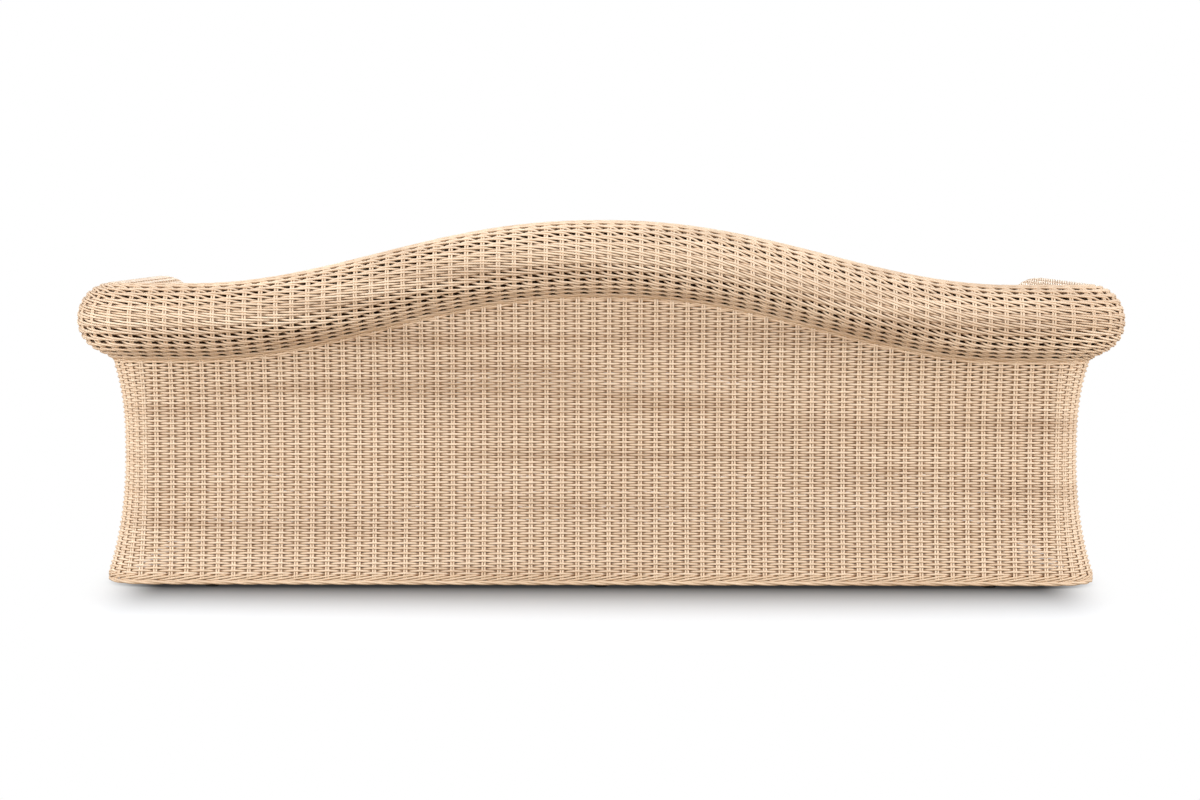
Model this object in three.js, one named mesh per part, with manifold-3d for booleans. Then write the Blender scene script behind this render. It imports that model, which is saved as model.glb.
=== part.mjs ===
// Rattan garden sofa: a woven shell with a thick roll along its arms and its hump-shaped back,
// over a frame of bent rattan poles, with three loose seat cushions.
// Millimetres, +Z up. The front faces -Y, and the origin is on the floor under the sofa's middle.

import * as THREE from 'three';
import { mergeVertices } from 'three/addons/utils/BufferGeometryUtils.js';
import Module from 'manifold-3d';

const wasm = await Module();
wasm.setup();

// Overall size
const overallWidth = 2450;
const overallDepth = 960;
const backTopHeight = 851;
const armTopHeight = 704;

// Roll along the arms and the back, and the plan of its centre line
const rollRadius = 84;
const cornerRadius = 90;
const humpHalfWidth = 941;
const humpShapePower = 1.1;

// Woven skin, with its outer face flared at the base and drawn in at the waist
const weaveThickness = 12;
const waistHeight = 315;
const waistInset = 25;
const baseFlare = 23.5;
const baseFlarePower = 2.3;
const neckPower = 2.6;
const neckFlare = 7;

// Main relief of the weave: reeds at the paired stakes, and rows of two strands round the roll
const backStakes = 58;
const cornerStakes = 5;
const armStakes = 21;
const reedTop = 1;
const reedDepth = 4.5;
const rollRows = 21;
const rollGrooveDepth = 4;
const rollGrooveShares = [0.08, 0.3, 0.52];

// Inner faces, which lean from the roll down to the seat
const innerArmLean = 20;
const innerBackLean = 66;
const innerLeanPower = 1.3;

// Seat
const deckHeight = 312;
const deckThickness = 12;
const deckCornerRadius = 18;
const apronSetBack = 26;

// Plaited border round the foot, and plaited edging round the arm facings
const borderBottom = 5.5;
const borderTop = 30;
const borderProud = 1;
const borderEdge = 5;
const borderCornerRadius = 20;
const edgingRadius = 8;
const facingSetBack = 4;

// Poles of the frame
const poleRadius = 14;
const formerRadius = 7;
const baseRailHeight = 29;
const poleStartAboveRail = 9;
const poleStopBelowRail = 4;
const railAngle = THREE.MathUtils.degToRad(-107);
const formerStartAngle = THREE.MathUtils.degToRad(-112);
const rollStartAngle = THREE.MathUtils.degToRad(-92);
const rollEndAngle = THREE.MathUtils.degToRad(180);
const backPostShares = [-0.91, -0.36, 0.36, 0.91];
const armMiddleShare = 0.5;
const apronPostShares = [-0.4, 0.4];
const bearerShares = [-0.6, -0.2, 0.2, 0.6];
const backFormerShares = [-0.64, 0, 0.64];
const armFormerShare = 0.26;

// Glides under the base rails
const glideRadius = 17;
const glideTopRadius = 13;
const glideChamfer = 3;
const glideInset = 4;
const glideShares = [-0.86, 0, 0.86];

// Seat cushions
const cushionCount = 3;
const cushionThickness = 118;
const cushionCrown = 16;
const cushionPull = 7;
const cushionCornerRadius = 45;
const cushionSeam = 9;
const cushionBulge = 5;
const cushionGap = 3;
const cushionOverhang = 20;
const cushionEdgeRadius = 22;
const crownShares = [0.15, 0.35, 0.6, 0.85];
const sideShares = [0.25, 0.5, 0.75];

// Clearances
const seatGap = 0.3;
const backGap = 3;
const curveGap = 0.7;
const weldDistance = 1e-4;

// Facets
const stakesPerBackStep = 2;
const backSteps = backStakes / stakesPerBackStep;
const cornerSteps = cornerStakes;
const flareSteps = 3;
const neckSteps = 3;
const rollUnderSteps = 4;
const rollOverSteps = 8;
const leanSteps = 4;
const poleSides = 8;
const formerSides = 8;
const glideSides = 12;

// Materials
const rattan = new THREE.MeshStandardMaterial({ color: 0xe3c6a0, roughness: 0.6, metalness: 0 });
const rattanPole = new THREE.MeshStandardMaterial({ color: 0xc9a070, roughness: 0.55, metalness: 0 });
const canvas = new THREE.MeshStandardMaterial({ color: 0xe9e2d3, roughness: 0.95, metalness: 0 });
const glidePlastic = new THREE.MeshStandardMaterial({ color: 0x2b2723, roughness: 0.5, metalness: 0 });

// Places worked out from the sizes above
const armCentreX = overallWidth / 2 - rollRadius;
const backCentreY = overallDepth / 2 - rollRadius;
const frontY = -overallDepth / 2;
const armRollZ = armTopHeight - rollRadius;
const humpRise = backTopHeight - armTopHeight;
const cornerX = armCentreX - cornerRadius;
const cornerY = backCentreY - cornerRadius;
const facingFrontY = frontY + facingSetBack;
const facingBackY = facingFrontY + weaveThickness;
const shellFrontY = frontY + 2 * edgingRadius + seatGap;
const poleOffset = weaveThickness + seatGap + poleRadius;
const formerOffset = weaveThickness + seatGap + formerRadius;
const apronLineY = facingFrontY + apronSetBack - borderProud;
const backStep = 2 * cornerX / backSteps;
const railJointY = cornerY - 2 * poleRadius;
const borderInside = outerInset(baseRailHeight, armRollZ, poleOffset) + poleRadius + seatGap;
const borderOutside = outerInset(borderTop, armRollZ, 0) + borderProud;
const armPostY = Math.max(frontY + borderOutside - borderInside, facingBackY) + seatGap + poleRadius;
const deckFrontY = apronLineY - outerInset(deckHeight, armRollZ, weaveThickness) + seatGap;
const railDistance = rollRadius - formerOffset - formerRadius - seatGap - poleRadius;
const seatRailHeight = deckHeight - deckThickness - seatGap - poleRadius;

const group = new THREE.Group();

function addPiece(name, geometry, material) {
  geometry.computeVertexNormals();
  const mesh = new THREE.Mesh(geometry, material);
  mesh.name = name;
  group.add(mesh);
}

// Solids

function toSolid(geometry) {
  const bare = geometry.clone();
  bare.deleteAttribute('normal');
  bare.deleteAttribute('uv');
  const merged = mergeVertices(bare, weldDistance);
  return new wasm.Manifold(new wasm.Mesh({
    numProp: 3,
    vertProperties: new Float32Array(merged.attributes.position.array),
    triVerts: new Uint32Array(merged.index.array),
  }));
}

function toGeometry(solid) {
  const mesh = solid.getMesh();
  const geometry = new THREE.BufferGeometry();
  geometry.setAttribute('position', new THREE.BufferAttribute(mesh.vertProperties, mesh.numProp));
  geometry.setIndex(new THREE.BufferAttribute(mesh.triVerts, 1));
  return geometry;
}

function cutBy(geometry, tools) {
  let solid = toSolid(geometry);
  for (const tool of tools) solid = solid.subtract(toSolid(tool));
  return toGeometry(solid);
}

function signedVolume(points, faces) {
  let sum = 0;
  const cross = new THREE.Vector3();
  for (const [a, b, c] of faces) sum += points[a].dot(cross.crossVectors(points[b], points[c]));
  return sum;
}

// Joins rings of equal count into one closed solid. The outline is a flat copy of the end rings.
function loft(rings, outline) {
  const count = outline.length;
  const points = rings.flat();
  const faces = [];
  for (let r = 0; r + 1 < rings.length; r++) {
    for (let i = 0; i < count; i++) {
      const a = r * count + i;
      const b = r * count + (i + 1) % count;
      faces.push([a, b, b + count], [a, b + count, a + count]);
    }
  }
  const last = (rings.length - 1) * count;
  const wound = THREE.ShapeUtils.isClockWise(outline) ? 1 : -1;
  for (const [a, b, c] of THREE.ShapeUtils.triangulateShape(outline, [])) {
    const start = wound > 0 ? [a, b, c] : [a, c, b];
    const end = wound > 0 ? [a, c, b] : [a, b, c];
    faces.push(wound > 0 ? end : start, (wound > 0 ? start : end).map((k) => k + last));
  }
  return solidFrom(points, faces);
}

function solidFrom(points, faces) {
  if (signedVolume(points, faces) < 0) faces.forEach((face) => face.reverse());
  const geometry = new THREE.BufferGeometry().setFromPoints(points);
  geometry.setIndex(faces.flat());
  return geometry;
}

// A round pole through the points given, with a ring of facets at each point.
function pole(points, radius, sides) {
  const rings = [];
  const outline = [];
  const side = new THREE.Vector3();
  let lastDirection = null;
  for (let i = 0; i < points.length; i++) {
    const before = points[Math.max(i - 1, 0)];
    const after = points[Math.min(i + 1, points.length - 1)];
    const direction = new THREE.Vector3().subVectors(after, before).normalize();
    if (lastDirection) {
      side.applyQuaternion(new THREE.Quaternion().setFromUnitVectors(lastDirection, direction));
    } else {
      side.set(direction.z * direction.z < 0.5 ? 0 : 1, 0, direction.z * direction.z < 0.5 ? 1 : 0);
    }
    side.addScaledVector(direction, -side.dot(direction)).normalize();
    const up = new THREE.Vector3().crossVectors(direction, side);
    const ring = [];
    for (let k = 0; k < sides; k++) {
      const turn = 2 * Math.PI * k / sides;
      ring.push(points[i].clone()
        .addScaledVector(side, radius * Math.cos(turn))
        .addScaledVector(up, radius * Math.sin(turn)));
      if (i === 0) outline.push(new THREE.Vector2(Math.cos(turn), Math.sin(turn)));
    }
    rings.push(ring);
    lastDirection = direction;
  }
  return loft(rings, outline);
}

function range(from, to, steps) {
  return Array.from({ length: steps + 1 }, (_, i) => from + (to - from) * i / steps);
}

// Stations: a place on the roll's centre line, its outward direction and the roll's height there

function hump(x) {
  const share = Math.min(1, Math.abs(x) / humpHalfWidth);
  return humpRise * (1 + Math.cos(Math.PI * Math.pow(share, humpShapePower))) / 2;
}

// The hump's height on the straight facet between two of the back's stations.
function humpFacet(x) {
  const at = (x + cornerX) / backStep;
  const before = Math.min(Math.max(Math.floor(at), 0), backSteps - 1);
  const low = hump(before * backStep - cornerX);
  const high = hump((before + 1) * backStep - cornerX);
  return low + (high - low) * (at - before);
}

// The steepest slope of the hump on either side of a station.
function humpSlope(x) {
  const before = Math.abs(hump(x) - hump(x - backStep));
  const after = Math.abs(hump(x + backStep) - hump(x));
  return Math.max(before, after) / backStep;
}

// How much further in a back post stands where the shell above it slopes.
function postRoom(x) {
  return poleRadius * humpSlope(x) * humpSlope(x);
}

function backStation(x) {
  return { x, y: backCentreY, outX: 0, outY: 1, rollZ: armRollZ + humpFacet(x) };
}

function armStation(side, y) {
  return { x: side * armCentreX, y, outX: side, outY: 0, rollZ: armRollZ };
}

// A station on the arm, as a share of the way from its front post to the back corner.
function armStationAt(side, share) {
  return armStation(side, armPostY + share * (cornerY - armPostY));
}

function apronStation(x) {
  return { x, y: apronLineY, outX: 0, outY: -1, rollZ: armRollZ };
}

function turnStation(side, centreX, centreY, radius, angle) {
  const outX = side * Math.sin(angle);
  const outY = Math.cos(angle);
  return {
    x: side * centreX + radius * outX, y: centreY + radius * outY, outX, outY, rollZ: armRollZ,
  };
}

function cornerStations(side) {
  return range(0, Math.PI / 2, cornerSteps)
    .map((angle) => turnStation(side, cornerX, cornerY, cornerRadius, angle));
}

// From the left arm, round the back, to the right arm.
function backPath() {
  const straight = range(-cornerX, cornerX, backSteps).slice(1, -1).map(backStation);
  return [...cornerStations(-1).reverse(), ...straight, ...cornerStations(1)];
}

function armPath(side) {
  return [armStation(side, cornerY - seatGap), armStation(side, shellFrontY)];
}

// Stations for a reeded skin: each stretch between two stations holds a whole number of stakes, with a
// reed at each stake and a valley between. They stay on the facets, so that neighbours still fit.
function reeded(stations, stakesIn) {
  const fine = [];
  for (let i = 0; i + 1 < stations.length; i++) {
    const steps = 2 * stakesIn(stations[i], stations[i + 1]);
    for (let k = i === 0 ? 0 : 1; k <= steps; k++) {
      const sunk = k % 2 === 0 ? reedDepth : reedTop;
      fine.push({ ...between(stations[i], stations[i + 1], k / steps), sunk });
    }
  }
  fine[0].sunk = reedTop;
  fine[fine.length - 1].sunk = reedTop;
  return fine;
}

// The apron's reeds stand in line with those of the back.
function reededApron(reach) {
  const half = backStep / stakesPerBackStep / 2;
  const count = Math.floor(reach / half);
  const reeds = range(-count, count, 2 * count)
    .map((k) => ({ ...apronStation(k * half), sunk: k % 2 === 0 ? reedDepth : reedTop }));
  const ends = [-reach, reach].map((x) => ({ ...apronStation(x), sunk: reedTop }));
  return [ends[0], ...reeds, ends[1]];
}

function between(a, b, share) {
  const mix = (name) => a[name] + (b[name] - a[name]) * share;
  return { x: mix('x'), y: mix('y'), outX: mix('outX'), outY: mix('outY'), rollZ: mix('rollZ') };
}

function stakesBetween(a, b) {
  return a.outX === b.outX ? stakesPerBackStep : 1;
}

function place(station, out, z) {
  return new THREE.Vector3(station.x + station.outX * out, station.y + station.outY * out, z);
}

// Sweeps a flat section, which may change along the way, through the stations.
function sweep(stations, section) {
  const rings = stations.map((s) => section(s).map(([out, z]) => place(s, out, z)));
  const outline = section(stations[0]).map(([out, z]) => new THREE.Vector2(out, z));
  return loft(rings, outline);
}

// The shell's outer face, as a distance out from the roll's centre line, and its slope
function outerFace(z, neckTop) {
  if (z < waistHeight) {
    const span = waistHeight - borderBottom;
    const share = (waistHeight - z) / span;
    const flare = waistInset + baseFlare;
    return {
      out: -waistInset + flare * Math.pow(share, baseFlarePower),
      slope: -flare * baseFlarePower / span * Math.pow(share, baseFlarePower - 1),
    };
  }
  const span = neckTop - waistHeight;
  const share = (z - waistHeight) / span;
  return {
    out: -waistInset + (waistInset + neckFlare) * Math.pow(share, neckPower),
    slope: (waistInset + neckFlare) * neckPower / span * Math.pow(share, neckPower - 1),
  };
}

// The same face moved inwards through the thickness by a square distance.
function outerInset(z, neckTop, inset) {
  const face = outerFace(z, neckTop);
  return face.out - inset * Math.hypot(1, face.slope);
}

function neckTopOf(station) {
  return station.rollZ - rollRadius;
}

function outerHeights(neckTop) {
  return [
    ...range(borderTop + seatGap, waistHeight, flareSteps),
    ...range(waistHeight, neckTop - seatGap, neckSteps).slice(1),
  ];
}

function outerSection(station) {
  const neckTop = neckTopOf(station);
  const heights = outerHeights(neckTop);
  const front = heights.map((z) => [outerInset(z, neckTop, station.sunk), z]);
  const back = heights.map((z) => [outerInset(z, neckTop, weaveThickness), z]).reverse();
  return [...front, ...back];
}

// Round the roll from its outer underside, over the top, to its inner side.
function rollArc(radius, centreZ, start = rollStartAngle) {
  const angles = [...range(start, 0, rollUnderSteps), ...range(0, rollEndAngle, rollOverSteps).slice(1)];
  return angles.map((a) => [radius * Math.cos(a), centreZ + radius * Math.sin(a)]);
}

// The roll's outside has a shallow groove between each two rows of strands.
function rollRowsArc(centreZ) {
  const pitch = (rollEndAngle - rollStartAngle) / rollRows;
  const points = [[rollRadius, rollStartAngle]];
  for (let row = 0; row < rollRows; row++) {
    rollGrooveShares.forEach((share, k) => {
      const depth = k === 1 ? rollGrooveDepth : 0;
      points.push([rollRadius - depth, rollStartAngle + pitch * (row + share)]);
    });
  }
  points.push([rollRadius, rollEndAngle]);
  return points.map(([radius, a]) => [radius * Math.cos(a), centreZ + radius * Math.sin(a)]);
}

function rollSection(station) {
  const outside = rollRowsArc(station.rollZ);
  const inside = rollArc(rollRadius - weaveThickness, station.rollZ).reverse();
  return [...outside, ...inside];
}

// The face beside the seat, which leans inwards from the roll's inner side
function innerFace(z, rollZ, lean) {
  const share = Math.min((rollZ - z) / (rollZ - deckHeight), 1);
  return {
    out: -rollRadius - lean * Math.pow(Math.max(share, 0), innerLeanPower),
    slope: lean * innerLeanPower / (rollZ - deckHeight) * Math.pow(Math.max(share, 0), innerLeanPower - 1),
  };
}

function innerInset(z, rollZ, lean, inset) {
  const face = innerFace(z, rollZ, lean);
  return face.out + inset * Math.hypot(1, face.slope);
}

function innerSection(station, lean, foot) {
  const heights = range(station.rollZ - seatGap, deckHeight + seatGap, leanSteps);
  if (foot !== undefined) heights.push(deckHeight, foot);
  const face = heights.map((z) => [innerInset(z, station.rollZ, lean, 0), z]);
  const back = heights.map((z) => [innerInset(z, station.rollZ, lean, weaveThickness), z]).reverse();
  return [...face, ...back];
}

// Woven skins

function buildSkins() {
  addPiece('outer_back_weave', sweep(reeded(backPath(), stakesBetween), outerSection), rattan);
  addPiece('back_roll_weave', sweep(backPath(), rollSection), rattan);
  addPiece('inner_back_weave', innerBack(), rattan);
  for (const [side, word] of [[-1, 'left'], [1, 'right']]) {
    addPiece(`${word}_outer_weave`, sweep(reeded(armPath(side), () => armStakes), outerSection), rattan);
    addPiece(`${word}_roll_weave`, sweep(armPath(side), rollSection), rattan);
    addPiece(`${word}_inner_weave`, innerArm(side), rattan);
    addPiece(`${word}_arm_facing`, armFacing(side), rattan);
    addPiece(`${word}_arm_edging`, armEdging(side), rattan);
  }
  addPiece('front_apron_weave', apron(), rattan);
}

// The inner face of an arm, which runs down to the floor border in front of the apron.
function innerArm(side) {
  const meetY = deckFrontY - 2 * seatGap;
  const beside = [armStation(side, backCentreY - rollRadius - seatGap), armStation(side, meetY)];
  const ahead = [armStation(side, meetY), armStation(side, shellFrontY)];
  const foot = Math.max(borderTop, baseRailHeight + poleRadius) + seatGap;
  const panel = sweep(beside, (s) => innerSection(s, innerArmLean));
  const front = sweep(ahead, (s) => innerSection(s, innerArmLean, foot));
  return toGeometry(toSolid(panel).add(toSolid(front)));
}

// The inner back reaches from arm to arm, so its side edges follow the lean of the arms.
function innerBack() {
  const middle = range(-cornerX, cornerX, backSteps).slice(1, -1);
  const ring = (x, atArm) => {
    const station = backStation(x);
    return innerSection(station, innerBackLean).map(([out, z]) => {
      const point = place(station, out, z);
      if (atArm) point.x = atArm * (armInnerX(z) - seatGap);
      return point;
    });
  };
  const rings = [ring(-armCentreX, -1), ...middle.map((x) => ring(x, 0)), ring(armCentreX, 1)];
  const outline = innerSection(backStation(0), innerBackLean).map(([out, z]) => new THREE.Vector2(out, z));
  return loft(rings, outline);
}

function armInnerX(z) {
  return armCentreX + innerFace(z, armRollZ, innerArmLean).out;
}

// Outline of an arm seen from the front, moved inwards by an inset, from the border round to the border.
function armOutline(inset) {
  const neckTop = armRollZ - rollRadius;
  const outer = outerHeights(neckTop).map((z) => [outerInset(z, neckTop, inset), z]);
  const neckEnd = outer[outer.length - 1];
  const radius = rollRadius - inset;
  const slope = outerFace(neckTop, neckTop).slope;
  const startAngle = neckMeetsRoll(neckEnd, slope, radius);
  const roll = rollArc(radius, armRollZ, startAngle);
  const inner = range(armRollZ, deckHeight, leanSteps).slice(1)
    .map((z) => [innerInset(z, armRollZ, innerArmLean, inset), z]);
  const foot = [innerInset(deckHeight, armRollZ, innerArmLean, inset), borderTop + seatGap];
  return [...outer, ...roll, ...inner, foot];
}

// Angle on a circle of the radius given where the neck's line, carried on, runs into it.
function neckMeetsRoll([out, z], slope, radius) {
  const drop = z - armRollZ;
  const a = 1 + slope * slope;
  const b = drop + out * slope;
  const c = out * out + drop * drop - radius * radius;
  const climb = (-b - Math.sqrt(Math.max(b * b - a * c, 0))) / a;
  return Math.atan2(drop + climb, out + slope * climb);
}

function armFacing(side) {
  const outline = armOutline(2 * edgingRadius + curveGap);
  const rings = [facingFrontY, facingBackY].map((y) =>
    outline.map(([out, z]) => place(armStation(side, y), out, z)));
  return loft(rings, outline.map(([out, z]) => new THREE.Vector2(out, z)));
}

function armEdging(side) {
  const station = armStation(side, frontY + edgingRadius);
  const line = armOutline(edgingRadius).map(([out, z]) => place(station, out, z));
  line[0].z += edgingRadius / 3;
  return pole(line, edgingRadius, formerSides);
}

function apron() {
  const heights = range(borderTop + seatGap, deckHeight, flareSteps);
  const back = heights.map((z) => [outerInset(z, armRollZ, weaveThickness), z]).reverse();
  const section = (station) => [...heights.map((z) => [outerInset(z, armRollZ, station.sunk), z]), ...back];
  return sweep(reededApron(armInnerX(deckHeight) - seatGap), section);
}

function seatDeck() {
  const frontEdge = deckFrontY;
  const room = Math.max(...backPostShares.map((share) => postRoom(share * cornerX)));
  const backEdge = backCentreY + outerInset(waistHeight, armRollZ, poleOffset + poleRadius) - room - seatGap;
  const reach = armCentreX + outerInset(waistHeight, armRollZ, poleOffset + poleRadius) - seatGap;
  const r = deckCornerRadius;
  const shape = new THREE.Shape();
  shape.moveTo(-reach + r, frontEdge);
  shape.lineTo(reach - r, frontEdge);
  shape.absarc(reach - r, frontEdge + r, r, -Math.PI / 2, 0);
  shape.lineTo(reach, backEdge - r);
  shape.absarc(reach - r, backEdge - r, r, 0, Math.PI / 2);
  shape.lineTo(-reach + r, backEdge);
  shape.absarc(-reach + r, backEdge - r, r, Math.PI / 2, Math.PI);
  shape.lineTo(-reach, frontEdge + r);
  shape.absarc(-reach + r, frontEdge + r, r, Math.PI, Math.PI * 3 / 2);
  const settings = { depth: deckThickness, bevelEnabled: false, curveSegments: 4 };
  const deck = new THREE.ExtrudeGeometry(shape, settings);
  return deck.translate(0, 0, deckHeight - deckThickness);
}

// Plaited border round the foot of the shell

function borderSection(room = 0) {
  const inside = borderInside - room;
  const outside = borderOutside;
  return [
    [inside, borderBottom], [outside - borderEdge, borderBottom], [outside, borderBottom + 2 * borderEdge],
    [outside, borderTop - borderEdge / 2], [outside - borderEdge / 2, borderTop], [inside, borderTop],
  ];
}

// Along an arm's foot and round its front corner to the apron.
function sideBorderPath(side) {
  const lineY = frontY + borderOutside;
  const r = borderCornerRadius;
  const turn = range(Math.PI / 2, Math.PI, cornerSteps - 2)
    .map((angle) => turnStation(side, armCentreX - r, lineY + r, r, angle));
  const end = { x: side * armInnerX(deckHeight), y: lineY, outX: 0, outY: -1 };
  return [armStation(side, cornerY - seatGap), ...turn, end];
}

function buildBorders() {
  const backStations = [...cornerStations(-1).reverse(), ...cornerStations(1)];
  addPiece('border_back', sweep(backStations, () => borderSection()), rattan);
  for (const [side, word] of [[-1, 'left'], [1, 'right']]) {
    addPiece(`border_${word}`, sweep(sideBorderPath(side), () => borderSection()), rattan);
  }
  const reach = armInnerX(deckHeight) - seatGap;
  const front = [apronStation(-reach), apronStation(reach)];
  addPiece('border_front', sweep(front, () => borderSection()), rattan);
}

// Frame of rattan poles

function railLine(stations, outAndHeight) {
  return stations.map((s) => place(s, ...outAndHeight(s)));
}

function baseRailPlace() {
  return [outerInset(baseRailHeight, armRollZ, poleOffset), baseRailHeight];
}

function topRailPlace(station) {
  return [railDistance * Math.cos(railAngle), station.rollZ + railDistance * Math.sin(railAngle)];
}

// A pole bent to the shell's outer face, from the base rail up to the rail inside the roll.
function bentLine(station, room = 0) {
  const neckTop = neckTopOf(station);
  const [railOut, railZ] = topRailPlace(station);
  const end = railZ - poleStopBelowRail;
  const start = baseRailHeight + poleStartAboveRail;
  const heights = [start, ...outerHeights(neckTop).filter((z) => z > start)];
  const points = heights.map((z) => place(station, outerInset(z, neckTop, poleOffset + room), z));
  points.push(place(station, railOut, end));
  return points;
}

function widened(points) {
  return pole(points, poleRadius + seatGap, poleSides * 2);
}

function buildFrame() {
  const jointStations = [armStation(-1, railJointY), armStation(1, railJointY)];
  const around = (stations) => [jointStations[0], ...stations, jointStations[1]];
  const turns = [...cornerStations(-1).reverse(), ...cornerStations(1)];
  const backBaseLine = railLine(around(turns), baseRailPlace);
  const backTopLine = railLine(around(backPath()), topRailPlace);
  addPiece('base_rail_back', pole(backBaseLine, poleRadius, poleSides), rattanPole);
  addPiece('top_rail_back', pole(backTopLine, poleRadius, poleSides), rattanPole);

  const backRails = [widened(backBaseLine), widened(backTopLine)];
  const backFormerTools = [widened(backTopLine)];
  backPostShares.forEach((share, i) => {
    const x = share * cornerX;
    const line = bentLine(backStation(x), postRoom(x));
    addPiece(`back_post_${i + 1}`, cutBy(pole(line, poleRadius, poleSides), backRails), rattanPole);
  });
  backFormerShares.forEach((share, i) => {
    const x = share * cornerX;
    const rod = former(backStation(x), innerBackLean, formerRadius * humpSlope(x));
    addPiece(`back_former_${i + 1}`, cutBy(rod, backFormerTools), rattanPole);
  });

  const frontTools = [];
  const cornerTools = [];
  for (const [side, word] of [[-1, 'left'], [1, 'right']]) {
    const corner = bentLine(turnStation(side, cornerX, cornerY, cornerRadius, Math.PI / 4), curveGap);
    addPiece(`corner_post_${word}`, cutBy(pole(corner, poleRadius, poleSides), backRails), rattanPole);
    cornerTools.push(widened(corner));
    const ends = [armStation(side, railJointY - seatGap), armStation(side, armPostY - poleRadius)];
    const baseLine = railLine(ends, baseRailPlace);
    const topLine = railLine([ends[0], armStation(side, facingBackY + seatGap)], topRailPlace);
    const border = sweep(sideBorderPath(side), () => borderSection(seatGap));
    addPiece(`base_rail_${word}`, cutBy(pole(baseLine, poleRadius, poleSides), [border]), rattanPole);
    addPiece(`top_rail_${word}`, pole(topLine, poleRadius, poleSides), rattanPole);
    const rails = [widened(baseLine), widened(topLine)];
    const frontLine = bentLine(armStation(side, armPostY));
    const middleLine = bentLine(armStationAt(side, armMiddleShare));
    addPiece(`arm_front_post_${word}`, cutBy(pole(frontLine, poleRadius, poleSides), rails), rattanPole);
    addPiece(`arm_middle_post_${word}`, cutBy(pole(middleLine, poleRadius, poleSides), rails), rattanPole);
    const rod = former(armStationAt(side, armFormerShare), innerArmLean);
    addPiece(`arm_former_${word}`, cutBy(rod, [rails[1]]), rattanPole);
    frontTools.push(rails[0], widened(frontLine));
  }

  addPiece('seat_deck_weave', cutBy(seatDeck(), cornerTools), rattan);
  buildFrontAndSeat(frontTools, cornerTools);
}

// A thin bent rod that shapes the roll from inside and runs down behind the inner face to the seat.
function former(station, lean, room = 0) {
  const radius = rollRadius - formerOffset - room;
  const start = [radius * Math.cos(formerStartAngle), station.rollZ + radius * Math.sin(formerStartAngle)];
  const round = rollArc(radius, station.rollZ);
  const down = range(station.rollZ, deckHeight + seatGap + formerRadius / 3, leanSteps).slice(1)
    .map((z) => [innerInset(z, station.rollZ, lean, formerOffset + room), z]);
  const line = [start, ...round, ...down].map(([out, z]) => place(station, out, z));
  return pole(line, formerRadius, formerSides);
}

function buildFrontAndSeat(frontTools, cornerTools) {
  const [frontOut] = baseRailPlace();
  const reach = armCentreX + frontOut;
  const frontBaseLine = [place(apronStation(-reach), frontOut, baseRailHeight),
    place(apronStation(reach), frontOut, baseRailHeight)];
  addPiece('base_rail_front', cutBy(pole(frontBaseLine, poleRadius, poleSides), frontTools), rattanPole);

  // Seat rails lie against the posts, at the height where the deck rests on them.
  const postOut = outerInset(seatRailHeight, armRollZ, poleOffset);
  const railOut = postOut - 2 * poleRadius - seatGap;
  const sideX = armCentreX + railOut;
  const backY = backCentreY + railOut;
  const frontRailY = apronLineY - postOut;
  const at = (x, y) => new THREE.Vector3(x, y, seatRailHeight);
  const sideLines = [-1, 1].map((side) =>
    [at(side * sideX, frontRailY - poleRadius), at(side * sideX, backY + poleRadius)]);
  ['left', 'right'].forEach((word, i) => {
    const rail = pole(sideLines[i], poleRadius, poleSides);
    addPiece(`seat_rail_${word}`, cutBy(rail, [cornerTools[i]]), rattanPole);
  });
  const sideTools = sideLines.map(widened);
  const backLine = [at(-sideX, backY), at(sideX, backY)];
  addPiece('seat_rail_back', cutBy(pole(backLine, poleRadius, poleSides), sideTools), rattanPole);
  const frontLine = [at(-sideX, frontRailY), at(sideX, frontRailY)];
  addPiece('seat_rail_front', cutBy(pole(frontLine, poleRadius, poleSides), sideTools), rattanPole);

  const seatTools = [widened(backLine), widened(frontLine)];
  bearerShares.forEach((share, i) => {
    const x = share * cornerX;
    const bearer = pole([at(x, frontRailY), at(x, backY)], poleRadius, poleSides);
    addPiece(`seat_bearer_${i + 1}`, cutBy(bearer, seatTools), rattanPole);
  });

  const postTools = [widened(frontBaseLine), widened(frontLine)];
  apronPostShares.forEach((share, i) => {
    const x = share * cornerX;
    const top = seatRailHeight - poleStopBelowRail;
    const start = baseRailHeight + poleStartAboveRail;
    const along = range(borderTop + seatGap, deckHeight, flareSteps).filter((z) => z > start && z < top);
    const heights = [start, ...along, top];
    const line = heights.map((z) => place(apronStation(x), outerInset(z, armRollZ, poleOffset), z));
    addPiece(`apron_post_${i + 1}`, cutBy(pole(line, poleRadius, poleSides), postTools), rattanPole);
  });
}

// Glides

function glide() {
  const top = baseRailHeight - poleRadius - seatGap;
  const profile = [
    [0, 0], [glideRadius - glideChamfer, 0], [glideRadius, glideChamfer], [glideTopRadius, top], [0, top],
  ].map(([r, z]) => new THREE.Vector2(r, z));
  return new THREE.LatheGeometry(profile, glideSides).rotateX(Math.PI / 2);
}

function buildGlides() {
  const [railOut] = baseRailPlace();
  glideShares.forEach((share, i) => {
    const x = share * cornerX;
    const back = place(backStation(x), railOut - glideInset, 0);
    const front = place(apronStation(x), railOut - glideInset, 0);
    addPiece(`glide_back_${i + 1}`, glide().translate(back.x, back.y, 0), glidePlastic);
    addPiece(`glide_front_${i + 1}`, glide().translate(front.x, front.y, 0), glidePlastic);
  });
}

// Seat cushions

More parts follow.
